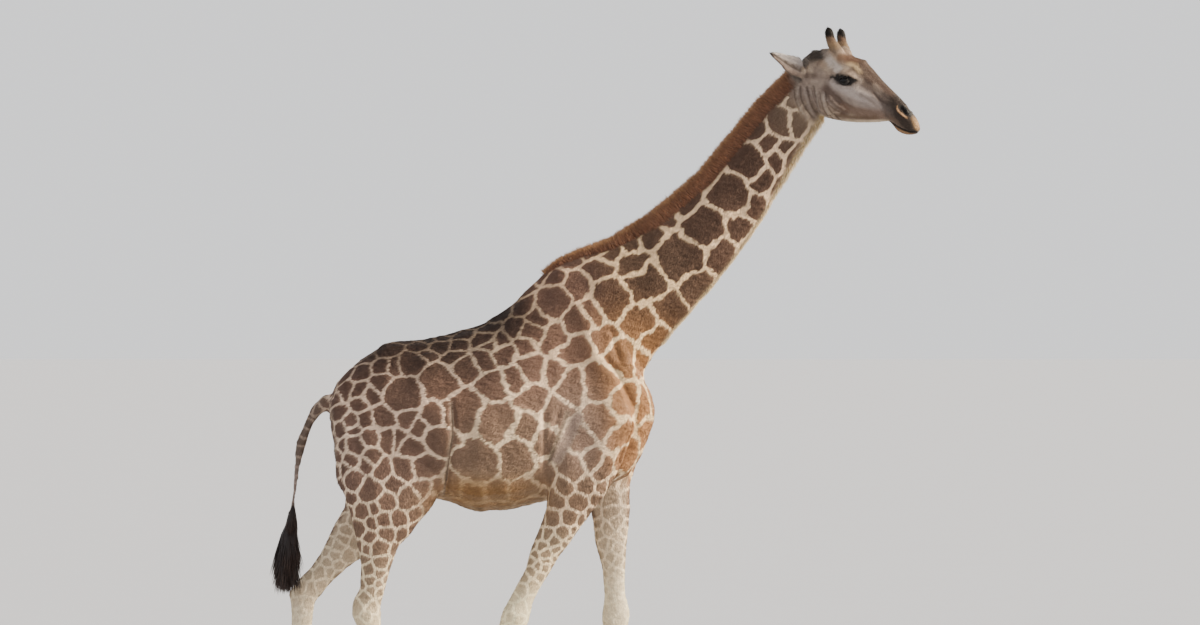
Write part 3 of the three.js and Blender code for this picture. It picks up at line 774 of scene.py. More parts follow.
@dataclass(frozen=True)
class Zone:
    """What the coat is like round one place of a side view; it blends into its neighbours."""

    place: tuple[float, float]
    reach: tuple[float, float]
    spacing: float  # from patch to patch
    line: float  # half the width of the pale lines
    strength: float  # how much the patches show
    ground: str
    patch: str
    fur: float = 1.0  # how long the hair is


COAT_ZONES = (
    Zone((0.98, 3.45), (0.12, 0.16), 0.115, 0.0083, 0.9, "dfc3a3", "523e33"),
    Zone((0.82, 3.22), (0.16, 0.2), 0.15, 0.0103, 1, "e5c5a3", "533d31"),
    Zone((0.55, 2.92), (0.22, 0.22), 0.19, 0.0111, 1, "eac8a1", "584134"),
    Zone((0.26, 2.58), (0.22, 0.24), 0.215, 0.0119, 1, "edc99c", "5a4435"),
    Zone((0.16, 2.2), (0.18, 0.22), 0.21, 0.0118, 1, "ffdcaa", "946840"),
    Zone((0.22, 1.9), (0.14, 0.2), 0.17, 0.0113, 0.95, "ffdcaa", "a5734a"),
    Zone((-0.16, 2.55), (0.16, 0.12), 0.14, 0.0079, 1, "e3bd99", "684d40"),
    Zone((-0.14, 2.25), (0.2, 0.2), 0.19, 0.0101, 1, "f4d1ac", "7d5e4d"),
    Zone((-0.08, 1.92), (0.14, 0.2), 0.15, 0.0109, 0.95, "e4c9ae", "8c7160"),
    Zone((-0.45, 2.36), (0.2, 0.108), 0.1, 0.0068, 1, "584a3e", "1d130f", 0.9),
    Zone((-0.75, 2.25), (0.2, 0.095), 0.085, 0.0061, 1, "54463a", "1a110e", 0.9),
    Zone((-0.6, 2.14), (0.22, 0.07), 0.12, 0.0085, 1, "8c7b6c", "3a2c25"),
    Zone((-1.02, 2.2), (0.16, 0.121), 0.1, 0.0065, 1, "6b5a4b", "33231b", 0.9),
    Zone((-0.45, 2.12), (0.2, 0.16), 0.2, 0.0102, 1, "ffdeba", "7a5c4d"),
    Zone((-0.45, 1.82), (0.24, 0.2), 0.25, 0.0105, 0.95, "ffe1b9", "846753"),
    Zone((-0.72, 2.02), (0.14, 0.16), 0.19, 0.0093, 1, "fbd7b9", "7b5d4c"),
    Zone((-0.5, 1.5), (0.3, 0.09), 0.2, 0.0113, 0.5, "a87b45", "784e29", 1.3),
    Zone((-1, 1.95), (0.16, 0.18), 0.125, 0.0077, 1, "e5c6ae", "6c5346"),
    Zone((-1.2, 2.05), (0.12, 0.12), 0.1, 0.0072, 1, "dbbca2", "61483d"),
    Zone((-1, 1.65), (0.18, 0.16), 0.105, 0.0077, 1, "eaccaf", "72584a"),
    Zone((-1.26, 1.75), (0.1, 0.2), 0.075, 0.0068, 1, "ecd0b6", "6c5449"),
    Zone((-1.08, 1.38), (0.2, 0.14), 0.07, 0.0066, 0.95, "f0d3af", "6b5042"),
    Zone((-1.3, 1.12), (0.35, 0.14), 0.057, 0.0066, 0.85, "efd8b2", "6f5544", 0.8),
    Zone((-1.3, 0.75), (0.4, 0.2), 0.052, 0.0068, 0.34, "f7e5bd", "8f7256", 0.6),
    Zone((-1.3, 0.3), (0.5, 0.28), 0.045, 0.0065, 0.12, "fff2cd", "ac9579", 0.5),
    Zone((-0.13, 1.48), (0.18, 0.12), 0.05, 0.0068, 0.95, "f0d1ad", "5f483a"),
    Zone((-0.28, 1.22), (0.3, 0.13), 0.055, 0.007, 0.8, "f8deb4", "6b523f", 0.8),
    Zone((-0.2, 0.85), (0.5, 0.2), 0.055, 0.0068, 0.32, "fff0c5", "a18261", 0.6),
    Zone((-0.2, 0.35), (0.6, 0.3), 0.045, 0.0065, 0.12, "fff4cf", "ac9579", 0.5),
    Zone((-1.45, 1.85), (0.07, 0.2), 0.05, 0.0057, 0.75, "958273", "493a33", 0.6),
    Zone((-1.52, 1.5), (0.06, 0.14), 0.04, 0.0049, 0.3, "a49087", "433932", 0.7),
    Zone((1.25, 3.48), (0.16, 0.16), 0.05, 0.008, 0.4, "9f8c7a", "5d483c", 0.5),
    Zone((1.45, 3.36), (0.16, 0.14), 0.045, 0.008, 0.1, "877464", "534238", 0.35),
)


@dataclass(frozen=True)
class Wash:
    """A soft-edged area of one colour, painted along a path of a side view."""

    path: Points2
    width: float
    colour: str
    strength: float = 1.0
    softness: float = 0.5
    on_head: bool = True
    side: Side = Side.BOTH
    hides: float = 1.0  # how much of the patches goes under it
    fur: float | None = None

    def mask(self, co: Array, normals: Array) -> Array:
        """How much of the wash each point takes."""
        places = to_head(co) if self.on_head else co
        path = np.array(self.path if len(self.path) > 1 else self.path * 2, float)
        path[-1] += 1e-5
        distance = fit_path(places[:, (0, 2)], path).distance
        edge = self.width * self.softness
        mask = smoothstep(self.width + edge, self.width - edge, distance)
        if self.side is not Side.BOTH:
            mask = mask * (co[:, 1] * self.side.value > 0)
        if self.on_head:
            mask = mask * (co[:, 2] > 3.2) * (places[:, 0] > -0.08)
        else:
            mask = mask * smoothstep(0.2, 0.6, np.abs(normals[:, 1]))
        return mask * self.strength


HEAD_WASHES = (
    # pale cheek and temple
    Wash(((0.02, 0.0), (0.14, -0.03), (0.38, -0.08)), 0.075, "8d7e75", 0.8, hides=0.9),
    Wash(((0.165, 0.0), (0.22, -0.03), (0.31, -0.072)), 0.03, "b1a49d", 0.75, softness=0.9),
    Wash(((0.3, -0.075), (0.38, -0.112), (0.44, -0.135)), 0.024, "b1a49d", 0.5, softness=0.95),
    Wash(((0.3, -0.055), (0.345, -0.085), (0.385, -0.125)), 0.007, "6b5a50", 0.5, softness=0.9),
    Wash(((0.19, -0.05), (0.24, -0.08), (0.31, -0.1), (0.38, -0.135)), 0.008, "7d6c62", 0.45, softness=0.9),
    Wash(((0.33, 0.0), (0.4, -0.045), (0.47, -0.085)), 0.028, "53443c", 0.85),
    Wash(((0.358, -0.05), (0.39, -0.086), (0.427, -0.107)), 0.005, "54443b", 0.8),
    Wash(((0.372, -0.042), (0.41, -0.076), (0.45, -0.092)), 0.005, "a89a8e", 0.6),
    Wash(((-0.06, -0.03), (0.0, -0.06), (0.05, -0.14)), 0.05, "6f5f57", 0.75, hides=0.6),
    Wash(((0.0, 0.042), (0.07, 0.04), (0.14, 0.03)), 0.012, "5d4b40", 0.65),
    Wash(((0.085, 0.105), (0.14, 0.15), (0.2, 0.15)), 0.032, "98806b", 0.7),
    Wash(((0.03, 0.1), (0.08, 0.07), (0.1, 0.02)), 0.02, "8a7a6e", 0.7),
    # brown streaks down the back of the jaw and along it, and its pale lower edge
    Wash(((0.12, -0.03), (0.165, -0.08), (0.2, -0.125)), 0.03, "54423a", 0.85),
    Wash(((0.2, -0.115), (0.27, -0.14), (0.4, -0.155)), 0.022, "6c5446", 0.7),
    Wash(((0.135, -0.06), (0.17, -0.105), (0.215, -0.135)), 0.004, "b7a08c", 0.55),
    Wash(((0.12, -0.09), (0.15, -0.125), (0.19, -0.15)), 0.004, "4a352a", 0.7),
    Wash(((0.165, -0.05), (0.2, -0.085), (0.25, -0.115)), 0.004, "4f3b30", 0.5),
    Wash(((0.15, -0.158), (0.25, -0.166), (0.36, -0.17)), 0.009, "55402f", 0.7),
    Wash(((0.13, -0.186), (0.3, -0.192), (0.44, -0.19)), 0.011, "cbb59c", 0.9),
    # forehead, bridge of the nose, brow and crown
    Wash(((0.24, 0.135), (0.31, 0.11), (0.4, 0.035), (0.5, -0.07)), 0.034, "4f3b2e", 0.92, hides=0.9),
    Wash(((0.27, 0.08), (0.34, 0.03), (0.42, -0.04)), 0.026, "4a3930", 0.85),
    Wash(((0.19, 0.13), (0.25, 0.115)), 0.022, "664a38", 0.85),
    Wash(((0.36, -0.01), (0.4, -0.05), (0.43, -0.08)), 0.012, "9b8878", 0.6),
    Wash(((0.12, 0.13), (0.15, 0.1), (0.185, 0.07)), 0.02, "b9aca2", 0.85),
    # painted sunlight: a golden patch on the brow over the eye
    Wash(((0.226, 0.1), (0.262, 0.088), (0.286, 0.06)), 0.008, "c4a980", 0.6, softness=0.9),
    Wash(((-0.03, 0.13), (0.02, 0.15), (0.075, 0.15)), 0.036, "27211e", 0.95, fur=1.5),
    Wash(((0.09, 0.165), (0.12, 0.14)), 0.014, "97887c", 0.7),
    # muzzle, nostril, lips and chin
    Wash(((0.405, -0.07), (0.425, -0.12), (0.435, -0.16)), 0.026, "4c3f38", 0.85, fur=0.4),
    Wash(((0.47, -0.09), (0.5, -0.17), (0.55, -0.212)), 0.04, "281e18", 0.95, fur=0.35),
    Wash(((0.44, -0.175), (0.48, -0.195)), 0.012, "5d4a3e", 0.8, fur=0.3),
    Wash(((0.575, -0.175), (0.592, -0.225)), 0.017, "bd925f", 0.9, softness=0.9, fur=0.4),
    Wash(((0.4785, -0.114), (0.482, -0.133), (0.4995, -0.1495), (0.53, -0.172)), 0.003, "c79a70", 0.85,
         softness=0.8, fur=0.2),
    Wash(((0.491, -0.116), (0.512, -0.132), (0.535, -0.158)), 0.012, "0b0807", 1.0, softness=0.35, fur=0.1),
    Wash(((0.46, -0.222), (0.5, -0.243), (0.54, -0.257)), 0.014, "8d6b4a", 0.8, fur=0.4),
    Wash(MOUTH_LINE, 0.0055, "150e0b", 1.0, fur=0.1),
    # dark skin round the eye, widened by painted shadow of the lashes and brow
    Wash(((0.148, 0.036), (0.2, 0.028), (0.25, 0.02), (0.276, 0.014)), 0.01, "120d0b", softness=0.4, fur=0.1),
    Wash(((0.19, 0.024), (0.242, 0.014)), 0.028, "120d0b", 1.0, softness=0.25, fur=0.1),
)


BODY_WASHES = (
    # the bare fold behind the forearm with its dark edge; painted shade in the thigh's front fold and under
    # the tail
    Wash(((-0.095, 1.9), (-0.135, 1.82), (-0.195, 1.7)), 0.028, "937b6f", 0.85, 0.3, False, Side.RIGHT,
         hides=0.95, fur=0.5),
    Wash(((-0.14, 1.93), (-0.185, 1.82), (-0.235, 1.68)), 0.008, "40312a", 0.85, 0.5, False, Side.RIGHT),
    # painted shade: a dark line in the fold in front of the thigh
    Wash(((-0.72, 1.97), (-0.714, 1.82), (-0.742, 1.64), (-0.762, 1.51)), 0.006, "3d2e26", 0.9,
         on_head=False),
    # painted shadow: a dark line on the buttock's rear, under the tail
    Wash(((-1.325, 1.93), (-1.305, 1.72)), 0.012, "4a3d36", 0.7, on_head=False),
)


def throat_streaks() -> list[Wash]:
    """Streaks of hair, dark and pale in turn, that run from the ear down to the throat."""
    streaks = []
    for number in range(11):
        top = -0.01 if number < 7 else -0.04
        start = -0.062 + 0.0175 * number
        steps = np.linspace(0, 1, 5)
        waves = 0.004 * np.sin(number * 2.3 + 3 * steps)
        path = tuple(zip(start + 0.05 * steps**2 + waves, top - 0.155 * steps))
        dark = number % 2 == 0
        streaks.append(Wash(path, 0.005 if dark else 0.004, "352822" if dark else "a3958a", 0.62))
    return streaks


EAR_LENGTH = 0.22


def ear_frame(side: int) -> tuple[Array, ...]:
    """An ear's root, the way along it, up across it and out of its opening, in the head's frame."""
    root = np.array((-0.022, side * 0.072, 0.06))
    along = unit(np.array((-0.102, side * 0.168, 0.092)))
    opening = np.array((0.88, side * 0.5, 0.09))
    opening = unit(opening - along * (opening @ along))
    upward = np.cross(along, opening)
    return root, along, upward * np.sign(upward[2]), opening


def ear_width(share: Array) -> Array:
    """Half the width of an ear's solid, by the share of its length."""
    return np.maximum(0.044 * np.sin(np.pi * (0.2 + 0.8 * np.clip(share, 0, 0.98))) ** 0.75, 0.004)


def ear_growth(share: Array, across: Array) -> Array:
    """How many times wider than its solid an ear is with its hair, above its middle and below."""
    above = 1.0 + 1.3 * np.clip((0.62 - share) / 0.62, 0, 1) ** 1.8
    below = 1 - 0.35 * smoothstep(0.35, 0.7, share)
    return np.where(across > 0, above, below)


def ear_places(co: Array, normals: Array, side: int, grown: bool = True) -> tuple[Array, ...]:
    """Where points lie on one ear.

    Args:
        co: The points.
        normals: Their normals.
        side: -1 on the right, 1 on the left.
        grown: Whether the ear has been widened for its hair.

    Returns:
        How far along the ear each point is and how far up across it, as shares of its size, how much it
        faces the ear's opening, and whether it is on the ear at all.
    """
    root, along, upward, opening = ear_frame(side)
    away = to_head(co) - root
    share = away @ along / EAR_LENGTH
    across = away @ upward / ear_width(share)
    if grown:
        across = across / ear_growth(share, across)
    lift = np.abs(away @ opening)
    near = smoothstep(0.0, 0.12, share) * (np.abs(across) < 1.6) * (lift < 0.045) * (share < 1.08)
    near = near * (co[:, 2] > 3.5)
    return share, across, (normals @ head_turn()) @ opening, near


@dataclass
class Cells:
    """The patches of the coat, each a cell round its middle; a place is in the nearest for its size."""

    middles: Array
    reaches: Array
    tones: Array

    def round(self, places: Array, count: int) -> Array:
        """The cells round each place.

        Args:
            places: The places.
            count: How many cells near it are looked at.

        Returns:
            Their numbers, a row for each place: its own first, then by the distance of their borders.
        """
        tree = kdtree.KDTree(len(self.middles))
        for number, middle in enumerate(self.middles):
            tree.insert(middle, number)
        tree.balance()
        near = np.array([[hit[1] for hit in tree.find_n(place, count)] for place in places])
        power = ((places[:, None] - self.middles[near]) ** 2).sum(axis=2) - self.reaches[near] ** 2
        least = power.argmin(axis=1)[:, None]
        own = np.take_along_axis(near, least, axis=1)
        apart = np.linalg.norm(self.middles[near] - self.middles[own], axis=2)
        border = (power - np.take_along_axis(power, least, axis=1)) / (2 * np.maximum(apart, 1e-6))
        order = np.where(near == own, -1.0, border).argsort(axis=1)
        return np.take_along_axis(near, order, axis=1)

    def settle(self, places: Array, free: Array, rounds: int = 3) -> None:
        """Moves the free middles to the middles of what their cells hold, so that the cells even out."""
        for _ in range(rounds):
            own = self.round(places, 4)[:, 0]
            counts = np.bincount(own, minlength=len(free))
            sums = sums_at(own, places, len(free))
            moved = free & (counts > 0)
            self.middles[moved] = sums[moved] / counts[moved][:, None]

    def values(self, places: Array) -> Values:
        """The three cells that matter round each place, as attributes of a face."""
        near = self.round(places, 7)[:, :3]
        middles = self.middles[near]
        apart = [np.linalg.norm(middles[:, a] - middles[:, b], axis=1) for a, b in ((0, 1), (0, 2), (1, 2))]
        values = {f"cell_{k}": middles[:, k] for k in range(3)}
        values["cell_reach"] = self.reaches[near] ** 2
        values["cell_apart"] = 2 * np.stack(apart, axis=1)
        values["cell_tone"] = self.tones[near]
        return values


@dataclass
class Coat:
    """The markings and colours of the skin: colours at its points, patches by its faces."""

    seed: int = 11
    warp: float = 0.055
    rounding: float = 0.14
    irregularity: float = 0.25
    crowding: float = 0.85

    def paint(self, surface: Surface, normals: Array) -> Values:
        """Works out the coat.

        Args:
            surface: The skin.
            normals: Its points' normals.

        Returns:
            Colours, lines, strength and fur of its points and the cells of its faces, by name.
        """
        co = surface.co
        weights = np.stack([self.weight(zone, co) for zone in COAT_ZONES], axis=1)
        weights /= weights.sum(axis=1, keepdims=True)
        spacing = weights @ np.array([zone.spacing for zone in COAT_ZONES])
        line = weights @ np.array([zone.line for zone in COAT_ZONES])
        mark = weights @ np.array([zone.strength for zone in COAT_ZONES])
        fur = weights @ np.array([zone.fur for zone in COAT_ZONES])
        ground = weights @ np.stack([tint(zone.ground) for zone in COAT_ZONES])
        patch = weights @ np.stack([tint(zone.patch) for zone in COAT_ZONES])
        for wash in (*BODY_WASHES, *HEAD_WASHES, *throat_streaks()):
            mask = wash.mask(co, normals)
            blend(ground, tint(wash.colour), mask)
            blend(patch, tint(wash.colour) * 0.8, mask * wash.hides)
            mark *= 1 - mask * wash.hides
            if wash.fur is not None:
                fur += (wash.fur - fur) * mask
        self.shade(co, normals, ground, patch, mark, fur)
        bent = np.stack([co[:, k] + spacing * (
            self.warp * ripples(co, 0.16, 20 + k) + 0.03 * ripples(co, 0.05, 30 + k)
        ) for k in range(3)], axis=1)
        cells = self.cells(co, bent, spacing)
        return {
            "ground": ground, "patch": patch, "line": line, "round": self.rounding * spacing, "mark": mark,
            "fur": fur, "bent": bent, **cells.values(bent[surface.faces].mean(axis=1)),
        }

    def weight(self, zone: Zone, co: Array) -> Array:
        """How near each point is to a zone."""
        across = (co[:, 0] - zone.place[0]) / zone.reach[0]
        up = (co[:, 2] - zone.place[1]) / zone.reach[1]
        far = across**2 + up**2
        return np.exp(-far) + 1e-4 / (1 + far) ** 2

    def shade(self, co: Array, normals: Array, ground: Array, patch: Array, mark: Array, fur: Array) -> None:
        """Paints, in place, what follows the shape: undersides, head, tail's end, mane's foot, painted shade
        in the ears and painted sunlight on the throat.

        Args:
            co: The skin's points.
            normals: Their normals.
            ground: The colour between the patches.
            patch: The colour of the patches.
            mark: How much the patches show.
            fur: How long the hair is.
        """
        under = smoothstep(-0.6, -0.95, normals[:, 2]) * (co[:, 0] < 0.5) * smoothstep(0.5, 0.9, co[:, 2])
        inner = smoothstep(0.3, 0.8, -normals[:, 1] * np.sign(co[:, 1])) * (np.abs(co[:, 1]) > 0.02)
        pale = np.maximum(under * 0.3, inner * smoothstep(1.75, 1.55, co[:, 2]) * 0.55)
        blend(ground, tint("dccbb2"), pale)
        mark *= 1 - 0.8 * pale
        self.mottle_head(co, ground)
        tail_end = smoothstep(1.53, 1.4, co[:, 2]) * (co[:, 2] > 1.35)
        blend(ground, tint("2a1f1a"), tail_end * (co[:, 0] < -1.46))
        height, _, along = nape_height(co)
        foot = smoothstep(-0.02, 0.0, height + mane_foot(along)) * smoothstep(0.0, 0.1, along)
        blend(ground, patch, foot * (co[:, 0] < 0.98))
        for side in SIDES.values():
            hair, near = self.ear_hair(co, normals, side)
            blend(ground, hair, near)
            mark *= 1 - near
        throat = fit_path(co[:, (0, 2)], THROAT_LINE).distance
        fringe = smoothstep(0.04, 0.012, throat) * smoothstep(0.06, 0.02, np.abs(co[:, 1]))
        high = 0.35 + 0.65 * smoothstep(2.7, 3.2, co[:, 2])
        # the throat's edge in pale gold: its own longer hair, and painted sunlight along the lit edge
        blend(ground, tint("e9d2ab"), 0.75 * fringe)
        mark *= 1 - 0.8 * fringe * high
        fur += (1.5 - fur) * fringe * high

    def mottle_head(self, co: Array, ground: Array) -> None:
        """Paints brown blots on the temple and makes the head's colours uneven, in place."""
        places = to_head(co)
        on_head = smoothstep(-0.1, 0.0, places[:, 0]) * smoothstep(3.28, 3.34, co[:, 2])
        temple = smoothstep(0.12, 0.07, np.hypot(places[:, 0] - 0.07, places[:, 2] - 0.06)) * on_head
        blend(ground, tint("67554b"), smoothstep(0.1, 1.1, ripples(co, 0.04, 46)) * temple * 0.6)
        unevenness = 0.07 * ripples(co, 0.03, 45) + 0.06 * ripples(co, 0.012, 48)
        ground *= 1 + unevenness[:, None] * on_head[:, None]

    def ear_hair(self, co: Array, normals: Array, side: int) -> tuple[Array, Array]:
        """The colour of one ear's hair, with painted shade deep in its hollow and a dark tip, and which
        points are on it.
        """
        along, across, facing, near = ear_places(co, normals, side)
        inside = smoothstep(0.05, 0.4, facing)
        core = smoothstep(0.42, 0.08, np.abs(across - 0.02)) * smoothstep(1.0, 0.85, along)
        layers = {
            "b3a8a2": smoothstep(0.1, 0.5, across) * inside,
            # painted shade: the dark core deep in the ear's hollow, between its rims
            "3a2c25": core * inside * 0.85,
            "756257": smoothstep(-0.15, -0.45, across) * inside * 0.85,
            "efe9e2": smoothstep(0.75, 0.95, across) * smoothstep(0.45, 0.7, along),
            "2a201b": smoothstep(0.8, 0.95, along) * smoothstep(0.6, 0.2, across) * 0.85,
        }
        hair = tint("84705f") + (tint("a1938a") - tint("84705f")) * inside[:, None]
        for colour, share in layers.items():
            blend(hair, tint(colour), share)
        return hair * (1 + 0.1 * ripples(co, 0.02, 47)[:, None]), near

    def cells(self, co: Array, bent: Array, spacing: Array) -> Cells:
        """Lays the patches out over the skin: those listed, then others wherever there is room.

        Args:
            co: The skin's points.
            bent: The points where the patches' borders are straight.
            spacing: The distance from patch to patch there.

        Returns:
            The cells.
        """
        draw = np.random.default_rng(self.seed)
        spread = spacing * (1 + self.irregularity * ripples(co, 0.2, 40))
        gap = np.full(len(co), np.inf)
        seeds, sizes = [], []
        for x, z, size in PATCH_PLACES:
            seen = np.hypot(co[:, 0] - x, co[:, 2] - z) + np.where(co[:, 1] < -0.01, 0, 9)
            seeds.append(int(seen.argmin()))
            sizes.append(size)
            room = (size + spread) / 2 * self.crowding
            gap = np.minimum(gap, np.linalg.norm(co - co[seeds[-1]], axis=1) / room)
        while gap.max() > 1:
            seeds.append(int(gap.argmax()))
            sizes.append(spread[seeds[-1]] * draw.uniform(0.75, 1.1))
            gap = np.minimum(gap, np.linalg.norm(co - co[seeds[-1]], axis=1) / (spread * self.crowding))
        LOG.info("patches: %d", len(seeds))
        cells = Cells(bent[seeds], np.array(sizes) / 2, draw.uniform(-1, 1, len(seeds)))
        cells.settle(bent[::5], np.arange(len(seeds)) >= len(PATCH_PLACES))
        return cells


THROAT_LINE = np.array((
    (1.12, 3.39), (1.05, 3.305), (0.96, 3.125), (0.87, 2.95), (0.68, 2.675), (0.52, 2.48), (0.34, 2.275),
))
# Patches of the right side that are given one by one: place in a side view and size.
PATCH_PLACES = (
    # upper and middle neck
    (0.90, 3.385, 0.12), (0.993, 3.375, 0.08), (0.797, 3.352, 0.1), (0.854, 3.256, 0.09),
    (0.927, 3.256, 0.06), (0.872, 3.18, 0.08), (0.82, 3.087, 0.1), (0.747, 3.168, 0.19),
    (0.652, 3.006, 0.2), (0.798, 2.95, 0.1), (0.539, 2.852, 0.21), (0.70, 2.84, 0.12), (0.62, 2.69, 0.14),
    (0.402, 2.71, 0.22), (0.256, 2.577, 0.19), (0.172, 2.656, 0.15), (0.089, 2.502, 0.18),
    (0.006, 2.643, 0.12), (-0.107, 2.56, 0.12), (-0.019, 2.447, 0.11), (0.372, 2.427, 0.15),
    (0.485, 2.56, 0.13), (0.198, 2.377, 0.14), (0.289, 2.285, 0.1), (0.206, 2.177, 0.09),
    (0.06, 2.71, 0.08), (0.17, 2.755, 0.07), (0.27, 2.8, 0.08), (0.47, 2.98, 0.12),
    # withers, shoulder and breast
    (-0.22, 2.485, 0.16), (-0.194, 2.605, 0.06), (-0.123, 2.393, 0.12), (-0.212, 2.285, 0.13),
    (-0.1, 2.243, 0.13), (0.043, 2.3, 0.11), (0.02, 2.09, 0.17), (-0.115, 2.07, 0.15), (-0.2, 2.12, 0.09),
    (0.141, 1.975, 0.14), (0.023, 1.885, 0.16), (0.245, 1.97, 0.1), (0.127, 1.803, 0.13),
    (0.259, 1.84, 0.1), (0.032, 1.64, 0.1), (-0.027, 1.675, 0.09), (-0.123, 1.648, 0.12),
    (-0.264, 1.766, 0.1), (-0.2, 1.93, 0.1), (-0.085, 1.82, 0.12),
    # flank and belly
    (-0.34, 2.157, 0.13), (-0.405, 2.085, 0.13), (-0.523, 2.066, 0.15), (-0.49, 1.889, 0.2),
    (-0.3, 2.003, 0.11), (-0.368, 1.848, 0.15), (-0.65, 1.92, 0.2), (-0.59, 1.68, 0.22),
    (-0.405, 1.685, 0.19), (-0.273, 1.612, 0.12), (-0.35, 1.56, 0.13), (-0.5, 1.54, 0.15),
    (-0.614, 1.53, 0.13), (-0.71, 1.567, 0.14),
    # back and loin
    (-0.673, 2.312, 0.1), (-0.555, 2.298, 0.09), (-0.468, 2.298, 0.065), (-0.41, 2.344, 0.08),
    (-0.318, 2.33, 0.09), (-0.355, 2.266, 0.08), (-0.459, 2.22, 0.08), (-0.56, 2.19, 0.1),
    (-0.532, 2.264, 0.06), (-0.69, 2.266, 0.07), (-0.773, 2.248, 0.07), (-0.705, 2.207, 0.09),
    (-0.65, 2.14, 0.13), (-0.836, 2.286, 0.055), (-0.78, 2.293, 0.05), (-0.895, 2.256, 0.07),
    (-0.845, 2.213, 0.06),
    # rump and thigh
    (-0.773, 2.075, 0.2), (-0.8, 1.912, 0.13), (-0.782, 1.803, 0.13), (-0.96, 2.02, 0.19),
    (-1.045, 1.91, 0.12), (-0.932, 1.903, 0.1), (-0.909, 1.753, 0.12), (-0.968, 1.8, 0.08),
    (-1.036, 1.785, 0.09), (-1.127, 1.8, 0.08), (-1.075, 2.155, 0.08), (-1.0, 2.155, 0.08),
    (-1.045, 2.244, 0.12), (-0.932, 2.175, 0.13), (-1.06, 2.08, 0.1), (-1.168, 1.975, 0.08),
    (-1.11, 1.994, 0.08), (-1.136, 1.89, 0.08), (-1.223, 1.885, 0.07), (-1.2, 1.835, 0.06),
    (-1.145, 2.198, 0.08), (-1.173, 2.125, 0.09), (-1.25, 2.107, 0.08), (-1.19, 2.04, 0.06),
    (-1.3, 1.994, 0.07), (-1.106, 1.715, 0.08), (-1.056, 1.645, 0.09), (-1.14, 1.675, 0.06),
    (-1.218, 1.695, 0.06), (-0.96, 1.64, 0.1), (-0.836, 1.66, 0.13), (-0.866, 1.56, 0.07),
    (-0.79, 1.565, 0.08), (-0.936, 1.505, 0.09), (-1.005, 1.575, 0.08), (-1.115, 1.52, 0.08),
    (-1.024, 1.52, 0.075), (-1.146, 1.595, 0.075), (-1.215, 1.585, 0.06), (-1.104, 1.453, 0.06),
    (-1.016, 1.453, 0.07), (-1.166, 1.445, 0.045), (-1.02, 1.395, 0.07), (-1.118, 1.38, 0.06),
    (-1.196, 1.38, 0.06), (-1.046, 1.335, 0.06), (-1.13, 1.31, 0.055), (-1.186, 1.31, 0.05),
)


# ---- node trees


Term = Any  # a Value, a number, or a tuple of three numbers


@dataclass(frozen=True)
class Value:
    """The output of a node, on which plain arithmetic adds more nodes."""

    graph: "Graph"
    socket: bpy.types.NodeSocket

    def __add__(self, other: Term) -> "Value":
        """The sum."""
        return self.graph.maths("ADD", self, other)

    def __radd__(self, other: Term) -> "Value":
        """The sum, with the value on the right."""
        return self.graph.maths("ADD", other, self)

    def __sub__(self, other: Term) -> "Value":
        """The difference."""
        return self.graph.maths("SUBTRACT", self, other)

    def __rsub__(self, other: Term) -> "Value":
        """The difference, with the value on the right."""
        return self.graph.maths("SUBTRACT", other, self)

    def __mul__(self, other: Term) -> "Value":
        """The product."""
        return self.graph.maths("MULTIPLY", self, other)

    def __rmul__(self, other: Term) -> "Value":
        """The product, with the value on the right."""
        return self.graph.maths("MULTIPLY", other, self)

    def __truediv__(self, other: Term) -> "Value":
        """The quotient."""
        return self.graph.maths("DIVIDE", self, other)

    def __rtruediv__(self, other: Term) -> "Value":
        """The quotient, with the value on the right."""
        return self.graph.maths("DIVIDE", other, self)

    def is_vector(self) -> bool:
        """Whether it holds three numbers."""
        return self.socket.type in {"VECTOR", "RGBA"}


